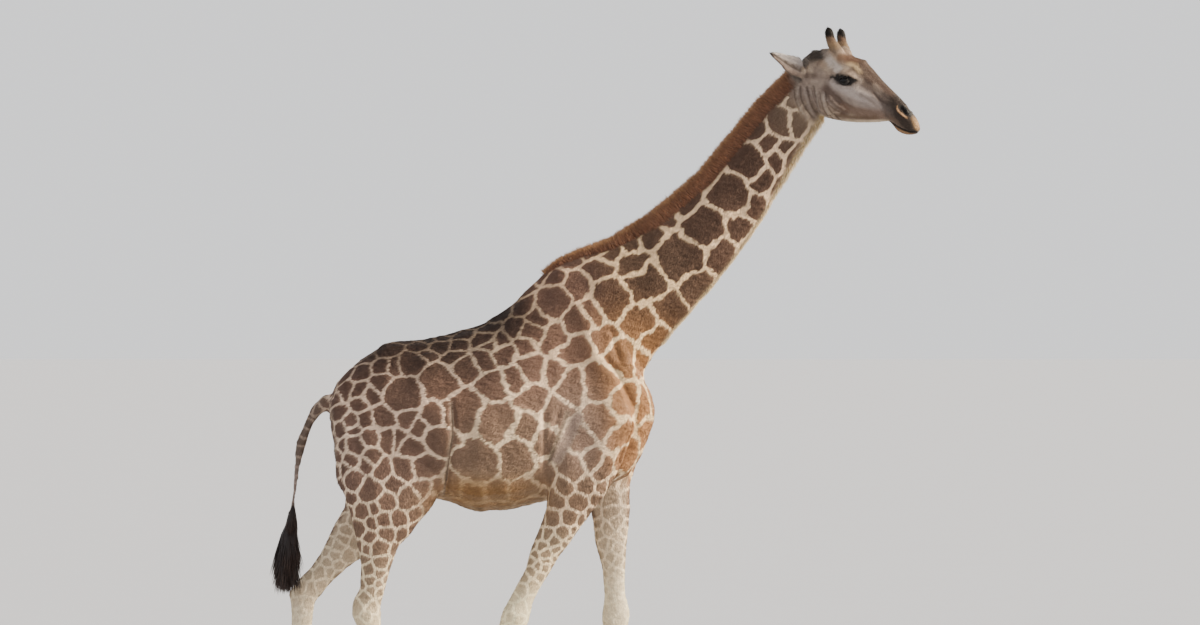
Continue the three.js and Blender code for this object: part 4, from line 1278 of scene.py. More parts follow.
@dataclass(frozen=True)
class Graph:
    """Adds nodes to one node tree."""

    tree: bpy.types.NodeTree

    def add(self, kind: str, settings: dict[str, Any] | None = None,
            inputs: dict[str | int, Term] | None = None) -> bpy.types.Node:
        """Adds a node.

        Args:
            kind: The node's type.
            settings: Its own settings.
            inputs: What its sockets are given, by name or number.

        Returns:
            The node.
        """
        node = self.tree.nodes.new(kind)
        for key, value in (settings or {}).items():
            setattr(node, key, value)
        for key, value in (inputs or {}).items():
            if isinstance(value, Value):
                self.tree.links.new(value.socket, node.inputs[key])
            else:
                node.inputs[key].default_value = value
        return node

    def out(self, node: bpy.types.Node, key: str | int = 0) -> Value:
        """One output of a node."""
        return Value(self, node.outputs[key])

    def value(self, kind: str, settings: dict[str, Any] | None = None,
              inputs: dict[str | int, Term] | None = None, output: str | int = 0) -> Value:
        """Adds a node and gives one of its outputs."""
        return self.out(self.add(kind, settings, inputs), output)

    def maths(self, operation: str, *terms: Term) -> Value:
        """Plain or vector arithmetic, whichever the terms ask for."""
        if any(isinstance(term, tuple) or isinstance(term, Value) and term.is_vector() for term in terms):
            terms = tuple((term,) * 3 if isinstance(term, (int, float)) else term for term in terms)
            return self.value("ShaderNodeVectorMath", {"operation": operation}, dict(enumerate(terms)))
        return self.value("ShaderNodeMath", {"operation": operation}, dict(enumerate(terms)))

    def dot(self, first: Value, second: Value) -> Value:
        """The dot product of two vectors."""
        inputs = {0: first, 1: second}
        return self.value("ShaderNodeVectorMath", {"operation": "DOT_PRODUCT"}, inputs, output="Value")

    def length(self, vector: Value) -> Value:
        """How long a vector is."""
        return self.value("ShaderNodeVectorMath", {"operation": "LENGTH"}, {0: vector}, output="Value")

    def parts(self, vector: Value) -> list[Value]:
        """The three numbers of a vector."""
        node = self.add("ShaderNodeSeparateXYZ", None, {0: vector})
        return [self.out(node, k) for k in range(3)]

    def noise(self, place: Value, size: float, detail: float = 2, seed: float = 0) -> Value:
        """A random field of about -1 to 1 whose blots are `size` across."""
        moved = place * (1 / size, 1 / size, 1 / size) + (seed * 7.3, seed * 3.1, seed * 5.7)
        node = self.add("ShaderNodeTexNoise", None, {"Vector": moved, "Scale": 1.0, "Detail": detail})
        return (self.out(node, "Fac") - 0.5) * 3.2

    def ramp(self, value: Value, low: float, high: float, start: float = 0.0, end: float = 1.0) -> Value:
        """A soft step of a value."""
        inputs = {"Value": value, "From Min": low, "From Max": high, "To Min": start, "To Max": end}
        return self.value("ShaderNodeMapRange", {"interpolation_type": "SMOOTHSTEP"}, inputs)

    def mix(self, share: Term, first: Term, second: Term) -> Value:
        """A colour between two others, each a value, three numbers or six letters."""
        ends = [tuple(tint(end)) if isinstance(end, str) else end for end in (first, second)]
        first, second = ((*end, 1.0) if isinstance(end, tuple) else end for end in ends)
        return self.value("ShaderNodeMix", {"data_type": "RGBA"}, {0: share, 6: first, 7: second}, output=2)

    def attribute(self, name: str, output: str = "Fac") -> Value:
        """A named attribute of the mesh."""
        return self.value("ShaderNodeAttribute", {"attribute_name": name}, output=output)

    def bumped(self, height: Value, distance: float, normal: Value | None = None) -> Value:
        """A normal tipped by a height."""
        inputs = {"Height": height, "Distance": distance, "Strength": 1.0}
        if normal is not None:
            inputs["Normal"] = normal
        return self.value("ShaderNodeBump", None, inputs)


def patch_edge(graph: Graph, read: Callable[[str], Value],
               number: Callable[[str], Value]) -> tuple[Value, Value]:
    """Measures a place against the cells of its face.

    Args:
        graph: The tree that works it out.
        read: Gives a vector attribute by its name.
        number: Gives a plain attribute by its name.

    Returns:
        How far inside its patch the place is, in half lines, and that patch's tone.
    """
    reaches, apart, tones = (graph.parts(read(f"cell_{name}")) for name in ("reach", "apart", "tone"))
    away = [read("bent") - read(f"cell_{k}") for k in range(3)]
    power = [graph.dot(way, way) - reach for way, reach in zip(away, reaches)]
    borders = [(power[b] - power[a]) / apart[k] for k, (a, b) in enumerate(((0, 1), (0, 2), (1, 2)))]
    corner = number("round")
    pairs = ((borders[0], borders[1]), (0.0 - borders[0], borders[2]), (0.0 - borders[1], 0.0 - borders[2]))
    inside, tone = graph.maths("SMOOTH_MIN", *pairs[0], corner), tones[0]
    for pair, other in zip(pairs[1:], tones[1:]):
        deeper = graph.maths("SMOOTH_MIN", *pair, corner)
        tone = tone + (other - tone) * graph.maths("GREATER_THAN", deeper, inside)
        inside = graph.maths("MAXIMUM", inside, deeper)
    return inside / number("line") - 1.0, tone


@dataclass(frozen=True)
class Finish:
    """A procedural material: the settings of its one shader, and what varies over the surface."""

    name: str

    def settings(self) -> dict[str, float]:
        """What the shader's sockets hold."""
        raise NotImplementedError

    def varied(self, graph: Graph) -> dict[str, Value]:
        """What leads into the shader's sockets."""
        raise NotImplementedError

    def material(self) -> Material:
        """Builds the material."""
        material = bpy.data.materials.new(self.name)
        material.use_nodes = True
        graph = Graph(material.node_tree)
        shader = graph.tree.nodes["Principled BSDF"]
        for key, value in self.settings().items():
            shader.inputs[key].default_value = value
        for key, value in self.varied(graph).items():
            graph.tree.links.new(value.socket, shader.inputs[key])
        return material


@dataclass(frozen=True)
class CoatFinish(Finish):
    """Short hair, in brown patches with jagged edges on a pale ground."""

    name: str = "coat"
    by_face: bool = False  # whether the markings come from the cells of each face
    jag: float = 0.4  # in half lines
    blur: float = 0.25
    evenness: float = 0.85  # how far each hair is lit like the skin under it

    def settings(self) -> dict[str, float]:
        """Dull, with a faint sheen."""
        return {"Roughness": 0.65, "Specular IOR Level": 0.2, "Sheen Weight": 0.03, "Sheen Roughness": 0.45}

    def varied(self, graph: Graph) -> dict[str, Value]:
        """The markings, and the short hair's relief."""
        place = graph.attribute("place", "Vector")
        edge, tone = graph.attribute("edge"), graph.attribute("tone")
        if self.by_face:
            edge, tone = patch_edge(graph, lambda name: graph.attribute(name, "Vector"), graph.attribute)
        edge = edge + graph.noise(place, 0.014, 3, 1) * (self.jag * 0.7)
        edge = edge + graph.noise(place, 0.005, 1, 2) * (self.jag * 0.4)
        specks = graph.noise(place, 0.007, 2, 4)
        depth = graph.ramp(edge, 0.3, 3.6, 1.1, 0.93) + graph.noise(place, 0.045, 2, 3) * 0.09
        depth = depth + specks * 0.06 + tone * 0.1
        paleness = 1.0 + graph.noise(place, 0.05, 3, 5) * 0.09 + specks * 0.07
        ground = graph.attribute("ground", "Color") * paleness
        patch = graph.attribute("patch", "Color") * depth
        inside = graph.ramp(edge, -self.blur, self.blur) * graph.attribute("mark")
        strand = 1.0 + graph.attribute("strand") * 0.17
        own = graph.value("ShaderNodeNewGeometry", output="Normal") * (1 - self.evenness)
        even = graph.maths("NORMALIZE", own + graph.attribute("outward", "Vector") * self.evenness)
        hair = graph.noise(place * (1, 1, 0.45), 0.0055, 3, 6)
        return {
            "Base Color": graph.mix(inside, ground, patch) * strand,
            "Normal": graph.bumped(hair, 0.0012, even),
        }


@dataclass(frozen=True)
class HairFinish(Finish):
    """Long hair of one kind, each lock of its own tone."""

    colour: str
    tips: str
    roughness: float = 0.6
    clump: float = 0.05
    crown: str = ""  # the colour of its end at the head

    def settings(self) -> dict[str, float]:
        """Duller than wet hair."""
        return {"Roughness": self.roughness, "Specular IOR Level": 0.35}

    def varied(self, graph: Graph) -> dict[str, Value]:
        """Its colour from root to tip and from clump to clump."""
        place = graph.attribute("place", "Vector")
        strand = 1.0 + graph.attribute("strand") * 0.25 + graph.noise(place, self.clump, 2, 1) * 0.25
        colour = graph.mix(graph.ramp(graph.attribute("along"), 0.35, 1.0), self.colour, self.tips)
        if self.crown:
            colour = graph.mix(graph.ramp(graph.parts(place)[0], 0.97, 1.01), colour, self.crown)
        return {"Base Color": colour * strand}


@dataclass(frozen=True)
class HornFinish(Finish):
    """Hoof horn with rings of growth."""

    name: str = "hoof horn"
    dark: str = "2a211b"
    light: str = "463a31"

    def settings(self) -> dict[str, float]:
        """Half dull."""
        return {"Roughness": 0.45, "Specular IOR Level": 0.4}

    def varied(self, graph: Graph) -> dict[str, Value]:
        """Level rings, in colour and relief."""
        place = graph.value("ShaderNodeTexCoord", output="Object")
        rings = graph.noise(place * (0.12, 0.12, 1), 0.006, 2, 1)
        share = graph.ramp(rings * 0.35 + graph.noise(place, 0.03, 3, 2), -1.2, 1.4)
        relief = rings + graph.noise(place, 0.002, 2, 3) * 0.3
        return {"Base Color": graph.mix(share, self.dark, self.light), "Normal": graph.bumped(relief, 0.0003)}


@dataclass(frozen=True)
class EyeFinish(Finish):
    """A dark wet eye with a level pupil."""

    name: str = "eye"
    iris: str = "090504"
    pupil: str = "050406"
    white: str = "060404"

    def settings(self) -> dict[str, float]:
        """Wet."""
        return {"Roughness": 0.12, "Specular IOR Level": 0.15, "Coat Weight": 0.15, "Coat Roughness": 0.02}

    def varied(self, graph: Graph) -> dict[str, Value]:
        """The iris with its fibres, the pupil and the white."""
        gaze = graph.attribute("gaze", "Vector")
        fibres = graph.ramp(graph.noise(gaze * (1, 1, 0), 0.06, 3, 1), -1, 1)
        colour = graph.mix(fibres, tuple(tint(self.iris) * 0.6), tuple(tint(self.iris) * 1.5))
        colour = graph.mix(graph.ramp(graph.length(gaze * (1, 1.12, 0)), 0.62, 0.7), colour, self.white)
        colour = graph.mix(graph.ramp(graph.length(gaze * (0.62, 1.3, 0)), 0.3, 0.26), colour, self.pupil)
        return {"Base Color": colour}


@dataclass(frozen=True)
class PlainFinish(Finish):
    """A bare surface of one colour with faint blots, such as eyelids or the floor."""

    colour: str
    roughness: float = 0.5
    blot: float = 0.004
    contrast: float = 0.12
    relief: float = 0.0004

    def settings(self) -> dict[str, float]:
        """As dull as the piece asks."""
        return {"Roughness": self.roughness, "Specular IOR Level": 0.3}

    def varied(self, graph: Graph) -> dict[str, Value]:
        """Faint blots in colour and relief."""
        blots = graph.noise(graph.value("ShaderNodeTexCoord", output="Object"), self.blot, 2, 1)
        colour = graph.maths("MULTIPLY", tuple(tint(self.colour)), 1.0 + blots * self.contrast)
        return {"Base Color": colour, "Normal": graph.bumped(blots, self.relief)}


# ---- dressed meshes


def store(mesh: bpy.types.Mesh, name: str, values: Array, domain: str = "POINT") -> None:
    """Writes an attribute on a mesh: numbers, vectors, or colours where the name is a colour's."""
    if values.ndim == 1:
        kind, key = ("INT", "value") if values.dtype.kind in "iu" else ("FLOAT", "value")
    elif name in ("ground", "patch"):
        kind, key = "FLOAT_COLOR", "color"
        values = np.concatenate((np.clip(values, 0, 1), np.ones((len(values), 1))), axis=1)
    else:
        kind, key = "FLOAT_VECTOR", "vector"
    attribute = mesh.attributes.new(name, kind, domain)
    attribute.data.foreach_set(key, values.astype(np.int32 if kind == "INT" else np.float32).ravel())


def dressed(surface: Surface, name: str, values: Values, corners: Array) -> Object:
    """An object of a surface with attributes on its points and the baking places on its corners.

    Args:
        surface: The surface.
        name: The object's name.
        values: The attributes by name, a value for each point, or for each face if it tells of cells.
        corners: A place on the unit square for each corner.

    Returns:
        The object.
    """
    made = surface.object(name)
    for key, value in values.items():
        store(made.data, key, value, "FACE" if key.startswith("cell_") else "POINT")
    layer = made.data.uv_layers.new(name=UV_BAKE)
    layer.uv.foreach_set("vector", corners.reshape(-1, 2).astype(np.float32).ravel())
    return made


def without_hair(values: Values) -> Values:
    """The attributes that a surface keeps once its hair is grown."""
    return {key: value for key, value in values.items() if key not in ("lie", "crowd", "fur")}


def area_of(surface: Surface) -> Array:
    """The area of each triangle."""
    corners = surface.co[surface.faces]
    return np.linalg.norm(np.cross(corners[:, 1] - corners[:, 0], corners[:, 2] - corners[:, 0]), axis=1) / 2


def subset(surface: Surface, values: Values, corners: Array, kept: Array) -> tuple[Surface, Values, Array]:
    """Part of a surface with its attributes and baking places, by a mask of its triangles."""
    faces = surface.faces[kept]
    used, place = np.unique(faces, return_inverse=True)
    part = Surface(surface.co[used], place.reshape(faces.shape))
    chosen = {key: value[kept if key.startswith("cell_") else used] for key, value in values.items()}
    return part, chosen, corners[kept]


# ---- tufts


@dataclass(frozen=True)
class Blade:
    """One tuft of hair lying along X: a three-sided spindle that ends in a point."""

    name: str
    stations: Points3  # along, width, rise
    ridge: float = 0.35

    def object(self) -> Object:
        """The tuft as a mesh of length 1."""
        points, faces = [], []
        for along, width, rise in self.stations:
            points += [(along, -width / 2, rise), (along, width / 2, rise)]
            points.append((along + 0.04, 0, rise + self.ridge * width))
        tip = len(points)
        points.append((1, 0, self.stations[-1][2] * 1.25))
        faces.append((0, 2, 1))
        for start in range(0, tip - 3, 3):
            for side in range(3):
                a, b = start + side, start + (side + 1) % 3
                faces += [(a, b, b + 3), (a, b + 3, a + 3)]
        last = tip - 3
        faces += [(last, last + 1, tip), (last + 1, last + 2, tip), (last + 2, last, tip)]
        places = np.array(points, float)
        made = Surface(places, np.array(faces)).object(self.name)
        store(made.data, "blade", places * (1, 1, 0) + (0, 0.5, 0))
        store(made.data, "along", places[:, 0].copy())
        made.hide_render = True
        return made


SHORT_BLADE = Blade("short tuft", ((0.0, 1.0, -0.1),))
BRISTLE = Blade("bristle", ((0.0, 1.0, -0.1), (0.55, 0.85, 0.02)))
LONG_BLADE = Blade("long lock", ((0.0, 1.0, -0.1), (0.4, 1.0, 0.35), (0.75, 0.65, 0.4)))


class TuftTree:
    """The node tree that sets tufts over a surface, each lying the way its root says."""

    SOCKETS = {
        "Blade": "Object", "Finish": "Material", "Part": "Int", "Density": "Float", "Length": "Float",
        "Width": "Float", "Lift": "Float", "Stray": "Float", "Seed": "Int",
    }
    SPENT = ("lie", "part", "fur", "crowd", "root", "blade", "bent", "line", "round")
    PATCH = 0.003  # how wide each tuft is on the unit square

    def __init__(self) -> None:
        """Builds the tree."""
        self.tree = bpy.data.node_groups.new("tufts", "GeometryNodeTree")
        self.graph = Graph(self.tree)
        self.identifiers: dict[str, str] = {}
        self.tree.interface.new_socket("Geometry", in_out="INPUT", socket_type="NodeSocketGeometry")
        for name, kind in self.SOCKETS.items():
            made = self.tree.interface.new_socket(name, in_out="INPUT", socket_type=f"NodeSocket{kind}")
            self.identifiers[name] = made.identifier
        self.tree.interface.new_socket("Geometry", in_out="OUTPUT", socket_type="NodeSocketGeometry")
        source = self.graph.add("NodeGroupInput")
        self.given = {name: self.graph.out(source, name) for name in ("Geometry", *self.SOCKETS)}
        finished = self.grown(self.scattered())
        self.tree.links.new(finished.socket, self.graph.add("NodeGroupOutput").inputs[0])

    def named(self, name: str, kind: str = "FLOAT_VECTOR") -> Value:
        """An attribute of the surface."""
        return self.graph.value("GeometryNodeInputNamedAttribute", {"data_type": kind}, {"Name": name})

    def number(self, name: str) -> Value:
        """An attribute of the surface that is a plain number."""
        return self.named(name, "FLOAT")

    def stored(self, geometry: Value, name: str, value: Value, kind: str = "FLOAT",
               domain: str = "POINT") -> Value:
        """The geometry with one more attribute."""
        settings = {"data_type": kind, "domain": domain}
        inputs = {"Geometry": geometry, "Name": name, "Value": value}
        return self.graph.value("GeometryNodeStoreNamedAttribute", settings, inputs)

    def chance(self, low: float, high: float, draw: float) -> Value:
        """A random number for each tuft, another for each draw."""
        inputs = {2: low, 3: high, "Seed": self.given["Seed"] + draw}
        return self.graph.value("FunctionNodeRandomValue", {"data_type": "FLOAT"}, inputs, output=1)

    def scattered(self) -> Value:
        """The roots of the tufts, with what they keep of the surface under them."""
        graph, given = self.graph, self.given
        settings = {"data_type": "INT", "operation": "EQUAL"}
        part = self.named("part", "INT")
        chosen = graph.value("FunctionNodeCompare", settings, {2: part, 3: given["Part"]})
        inputs = {
            "Mesh": given["Geometry"], "Selection": chosen,
            "Density": given["Density"] * self.number("crowd"), "Seed": given["Seed"],
        }
        points = graph.value("GeometryNodeDistributePointsOnFaces", {"distribute_method": "RANDOM"}, inputs)
        points = self.stored(points, "root", self.named(UV_BAKE), "FLOAT_VECTOR")
        points = self.stored(points, "strand", self.chance(-1, 1, 1.0))
        edge, tone = patch_edge(graph, self.named, self.number)
        return self.stored(self.stored(points, "edge", edge), "tone", tone)

    def turned(self) -> Value:
        """Each tuft's turn: along the lie of the hair, then a little up and aside."""
        aimed = self.graph.value(
            "FunctionNodeAxesToRotation", {"primary_axis": "X", "secondary_axis": "Z"},
            {0: self.named("lie"), 1: self.named("outward")},
        )
        angles = {
            0: self.chance(-0.5, 0.5, 2.0),
            1: 0.0 - self.given["Lift"] * self.chance(0.55, 1.6, 3.0),
            2: self.given["Stray"] * self.chance(-1, 1, 4.0),
        }
        euler = self.graph.value("ShaderNodeCombineXYZ", None, angles)
        bent = self.graph.value("FunctionNodeEulerToRotation", None, {0: euler})
        settings = {"rotation_space": "LOCAL"}
        return self.graph.value("FunctionNodeRotateRotation", settings, {0: aimed, 1: bent})

    def grown(self, points: Value) -> Value:
        """The tufts on their roots, as one mesh with its baking places and its finish."""
        graph, given = self.graph, self.given
        fur = self.number("fur")
        width = given["Width"] * graph.maths("POWER", fur, 0.55) * self.chance(0.7, 1.3, 5.0)
        length = given["Length"] * fur * self.chance(0.7, 1.3, 6.0)
        size = graph.value("ShaderNodeCombineXYZ", None, {0: length, 1: width, 2: width})
        settings, inputs = {"transform_space": "ORIGINAL"}, {"Object": given["Blade"]}
        blade = graph.value("GeometryNodeObjectInfo", settings, inputs, output="Geometry")
        inputs = {"Points": points, "Instance": blade, "Rotation": self.turned(), "Scale": size}
        tufts = graph.value("GeometryNodeInstanceOnPoints", None, inputs)
        tufts = graph.value("GeometryNodeRealizeInstances", None, {0: tufts})
        place = self.named("root") + self.named("blade") * (self.PATCH, self.PATCH, 0)
        tufts = self.stored(tufts, UV_BAKE, place, "FLOAT2", "CORNER")
        inputs = {"Geometry": tufts, "Material": given["Finish"]}
        return graph.value("GeometryNodeSetMaterial", None, inputs)

    def cover(self, surface: Surface, values: Values, corners: Array, name: str, **inputs: Any) -> Object:
        """Sets one piece of tufts over a surface that isn't kept itself.

        Args:
            surface: The surface.
            values: Its attributes.
            corners: Its baking places.
            name: The piece's name.
            **inputs: The tree's inputs, by name, but for Part.

        Returns:
            The tufts.
        """
        source = dressed(surface, "roots", values, corners)
        store(source.data, "part", np.zeros(len(surface.faces), int), "FACE")
        made = self.grow(source, name, Part=0, **inputs)
        bpy.data.objects.remove(source)
        return made

    def grow(self, source: Object, name: str, **inputs: Any) -> Object:
        """Sets tufts over a surface and returns them as a plain mesh.

        Args:
            source: The surface with its attributes.
            name: The new object's name.
            **inputs: The tree's inputs, by name.

        Returns:
            The tufts.
        """
        made = bpy.data.objects.new(name, source.data)
        bpy.context.scene.collection.objects.link(made)
        modifier = made.modifiers.new("tufts", "NODES")
        modifier.node_group = self.tree
        for key, value in inputs.items():
            modifier[self.identifiers[key]] = value
        mesh = bpy.data.meshes.new_from_object(made.evaluated_get(bpy.context.evaluated_depsgraph_get()))
        mesh.name = name
        made.modifiers.clear()
        made.data = mesh
        spent = [key for key in mesh.attributes.keys() if key.startswith("cell_") or key in self.SPENT]
        for key in spent:
            mesh.attributes.remove(mesh.attributes[key])
        mesh.shade_smooth()
        LOG.info("%s: %d triangles", name, sum(len(face.vertices) - 2 for face in mesh.polygons))
        return made


@dataclass(frozen=True)
class Tufts:
    """How many tufts a piece of hair has, how large they are and how they stand."""

    count: int
    length: float
    width: float
    lift: float = 0.12
    stray: float = 0.2

    def inputs(self, widened: float = 1.0) -> dict[str, float]:
        """What the tree of tufts is given for them."""
        width = self.width * widened
        return {"Length": self.length, "Width": width, "Lift": self.lift, "Stray": self.stray}


COAT_TUFTS = {
    Part.HEAD: Tufts(41_000, 0.013, 0.0032),
    Part.NECK: Tufts(41_000, 0.0175, 0.0043),
    Part.SHOULDERS: Tufts(41_000, 0.018, 0.0046),
    Part.BARREL: Tufts(41_000, 0.019, 0.0049),
    Part.QUARTERS: Tufts(41_000, 0.0175, 0.0046),
    Part.FORELEGS: Tufts(38_000, 0.016, 0.0043),
    Part.HIND_LEGS: Tufts(38_000, 0.016, 0.0043),
}
LONG_TUFTS = {
    "throat_fringe": Tufts(4200, 0.034, 0.0034, 0.1, 0.35),
    "mane": Tufts(13_000, 0.05, 0.0044, 0.08, 0.14),
    "mane_roots": Tufts(12_500, 0.05, 0.0042, 0.05, 0.16),
    "tuft": Tufts(2600, 0.17, 0.006, 0.05, 0.12),
    "tail_roots": Tufts(1300, 0.12, 0.0045, 0.06, 0.1),
    "ossicone_hair": Tufts(3600, 0.016, 0.0032, 0.3, 0.3),
}


@dataclass
class Hide:
    """The skin with everything that its hair needs to know."""

    surface: Surface
    plan: Plan
    values: Values
    corners: Array
    parts: Array
    skin: Object

    @classmethod
    def of(cls, surface: Surface) -> "Hide":
        """Works out markings, lie and baking places of a finished skin surface."""
        axes = body_axes()
        normals = surface.normals()
        plan = planned(surface.co, normals, axes)
        values = Coat().paint(surface, normals)
        values["place"] = surface.co
        values["outward"] = normals
        values["lie"] = plan.lie
        values["crowd"] = np.clip(0.75 / values["fur"], 0.35, 1.6)
        corners = Unwrap().corners(surface, axes, plan)
        parts = cls.parts_of(surface, axes, plan)
        skin = dressed(surface, "skin", without_hair(values), corners)
        return cls(surface, plan, values, corners, parts, skin)

    @staticmethod
    def parts_of(surface: Surface, axes: dict[str, Axis], plan: Plan) -> Array:
        """Which coat piece each triangle is under."""
        chart = plan.charts(surface.faces)
        parts = np.array([axis.part.value for axis in axes.values()])[chart]
        middle = surface.co[surface.faces].mean(axis=1)
        trunk = parts == Part.BARREL.value
        parts[trunk & (middle[:, 0] > BARREL_FRONT)] = Part.SHOULDERS.value
        parts[trunk & (middle[:, 0] < BARREL_BACK)] = Part.QUARTERS.value
        return parts

    def bare(self) -> Array:
        """Triangles that grow no tufts: those inside the openings of the eyes."""
        middle = self.surface.co[self.surface.faces].mean(axis=1)
        bare = np.zeros(len(middle), bool)
        for side in SIDES.values():
            bare |= np.linalg.norm(middle - eye_centre(side), axis=1) < EYE_BARE
        return bare

    def coat(self, tree: TuftTree, blade: Object, finish: Material) -> list[Object]:
        """Grows the short hair, a piece for each length of the body."""
        source = dressed(self.surface, "roots", self.values, self.corners)
        parts = np.where(self.bare(), -1, self.parts)
        store(source.data, "part", parts, "FACE")
        areas = area_of(self.surface)
        crowd = self.values["crowd"][self.surface.faces].mean(axis=1)
        made = []
        share, widened = ((1.0, 1.0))
        for part, tufts in COAT_TUFTS.items():
            mine = parts == part.value
            density = tufts.count * share / (areas[mine] * crowd[mine]).sum()
            made.append(tree.grow(
                source, f"coat_{part.name.lower()}", Blade=blade, Finish=finish, Part=part.value,
                Density=float(density), Seed=part.value * 10 + 3, **tufts.inputs(widened),
            ))
        old = source.data
        bpy.data.objects.remove(source)
        bpy.data.meshes.remove(old)
        return made

    def locks(self, tree: TuftTree, name: str, near: Array, least: float, changes: Values,
              blade: Object, finish: Material) -> Object:
        """Grows long hair on some triangles of the skin.

        Args:
            tree: The tree of tufts.
            name: The piece's name.
            near: How much each point belongs to it.
            least: The least of that for a triangle to grow hair.
            changes: Attributes that differ from the coat's.
            blade: The lock.
            finish: Its finish.

        Returns:
            The piece.
        """
        kept = near[self.surface.faces].mean(axis=1) > least
        part, values, corners = subset(self.surface, {**self.values, **changes}, self.corners, kept)
        crowd = values["crowd"][part.faces].mean(axis=1)
        tufts = LONG_TUFTS[name]
        density = tufts.count / float((area_of(part) * crowd).sum())
        return tree.cover(part, values, corners, name, Blade=blade, Finish=finish, Density=density,
                          Seed=tufts.count, **tufts.inputs())


# ---- mane, tail and fringe

NAPE_LINE = np.array((
    (-0.28, 2.617), (-0.23, 2.658), (-0.18, 2.688), (-0.13, 2.706), (-0.076, 2.725), (0.079, 2.765),
    (0.279, 2.878), (0.534, 3.093), (0.834, 3.458), (0.974, 3.593), (1.044, 3.64),
))
MANE_TOP = 0.045  # how high over the nape the mane ends
TUFT_END = 1.062  # how high over the floor the tail's tuft ends

Comb = Callable[[Array], tuple[Array, Array]]  # gives the hair's lie and size


@dataclass
class LongHair:
    """The stiff mane and the tail's tuft, each with a core under its locks."""

    tree: TuftTree
    blade: Object
    voxel: float = 0.006  # how fine the core is
    made: list[Object] = field(default_factory=list)

    def piece(self, name: str, nodes: Sequence[str], finish: Material, inset: float,
              root: Callable[[Array], Array], comb: Comb) -> None:
        """Makes a core from its solids and grows locks on it.

        Args:
            name: The name of the core; its locks are called after it.
            nodes: The solids that it replaces.
            finish: The hair's finish.
            inset: How deep the core lies in the locks.
            root: Moves the core's points so that its foot is inside its neighbour.
            comb: Gives the lie and the size of the hair at its points.
        """
        core = remeshed(joined([node_surface(node) for node in nodes]), self.voxel)
        core.smooth(12)
        normals = core.normals()
        core.co -= normals * inset
        core.co = root(core.co)
        core = triangulated(core)
        normals = core.normals()
        lie, fur = comb(core.co)
        low, size = core.co.min(axis=0), np.ptp(core.co, axis=0).max()
        flat = ((core.co - low) / size)[:, (0, 2)] * 0.48
        flat[:, 0] += np.where(core.co[:, 1] > 0, 0.5, 0)
        corners = flat[core.faces] + 0.01
        crowd = np.ones(len(core.co))
        values = {"place": core.co, "outward": normals, "lie": lie, "fur": fur, "crowd": crowd}
        tufts = LONG_TUFTS[name]
        density = tufts.count / float(area_of(core).sum())
        locks = self.tree.cover(core, values, corners, f"{name}_locks", Blade=self.blade, Finish=finish,
                                Density=density, Seed=7, **tufts.inputs())
        shown = dressed(core, name, {"place": core.co}, corners)
        shown.data.materials.append(finish)
        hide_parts(*nodes)
        self.made += [shown, locks]


def nape_height(co: Array) -> tuple[Array, Array, Array]:
    """How high points are over the nape, the way up there, and how far along it they are."""
    fit = fit_path(co[:, (0, 2)], NAPE_LINE, open_ends=True)
    runs = unit(np.diff(NAPE_LINE, axis=0))
    run = smooth_tangents(fit.along, stops_of(NAPE_LINE), runs)
    up = np.stack((-run[:, 1], np.zeros(len(co)), run[:, 0]), axis=1)
    height = ((co[:, (0, 2)] - fit.foot) * up[:, (0, 2)]).sum(axis=1)
    return height, up, fit.along


def mane_foot(along: Array) -> Array:
    """How far down the neck the mane's hair grows."""
    return 0.018 + 0.018 * smoothstep(0.3, 0.8, along)


def root_mane(co: Array) -> Array:
    """The mane's core made narrow, its foot sunk into the neck."""
    height, up, along = nape_height(co)
    low = np.maximum(height, 0) * 0.95 * smoothstep(0.55, 0.05, along)
    sunk = co - up * (0.03 * smoothstep(0.016, 0.004, height) + low)[:, None]
    return sunk * (1, 0.6, 1)


def root_tuft(co: Array) -> Array:
    """The tuft's core with its top round the tail's end."""
    return co + np.array((0.004, 0, 0.035)) * smoothstep(1.375, 1.395, co[:, 2])[:, None]


def comb_mane(co: Array) -> tuple[Array, Array]:
    """The mane's hair stands square to the nape and ends level along it."""
    height, up, along = nape_height(co)
    back = np.stack((-up[:, 2], np.zeros(len(co)), up[:, 0]), axis=1)
    lie = unit(up + 0.14 * back + 0.07 * ripples(co, 0.05, 71)[:, None] * np.array((1, 0.5, 0)))
    top = MANE_TOP * (0.2 + 0.8 * smoothstep(0.0, 0.6, along)) * (1 + 0.16 * ripples(co, 0.018, 72))
    return lie, np.clip((top - height) / 0.05, 0.05, 1.2)


def comb_tuft(co: Array) -> tuple[Array, Array]:
    """The tail tuft's hair hangs, spreading a little."""
    down = np.array((-0.03, 0.0, -1.0))
    away = co - np.array((-1.55, 0.0, 1.2))
    strays = 0.1 * ripples(co, 0.05, 73)[:, None] * np.array((1, 1, 0))
    lie = unit(down + np.clip(away, -0.03, 0.03) * (2.0, 3.0, 0) + strays)
    return lie, np.clip((co[:, 2] - TUFT_END) / 0.16, 0.25, 1)


# ---- eyes, horns and feet

EYE_RADIUS = 0.024
EYE_BARE = 0.0305  # how far round its middle no hair grows
EYE_PLACE = (0.217, 0.1, 0.016)  # in the head's frame, left side


def eye_centre(side: int) -> Array:
    """The middle of one eyeball."""
    return from_head(np.array((EYE_PLACE[0], side * EYE_PLACE[1], EYE_PLACE[2])))


def eye_frame(side: int) -> Array:
    """The eye's own axes as rows: ahead, up and out."""
    out = unit(np.array((0.22, side * 1.0, 0.02)))
    ahead = unit(np.cross(np.array((0, 0, 1.0)), out) * side * -1.0)
    ahead = ahead * (1 if ahead[0] > 0 else -1)
    up = np.array((0, 0, 1.0)) - out * out[2]
    return np.stack((ahead, unit(up), out)) @ head_turn().T


def turn_in(count: int) -> Array:
    """A full turn in so many equal steps."""
    return np.linspace(0, 2 * math.pi, count, endpoint=False)


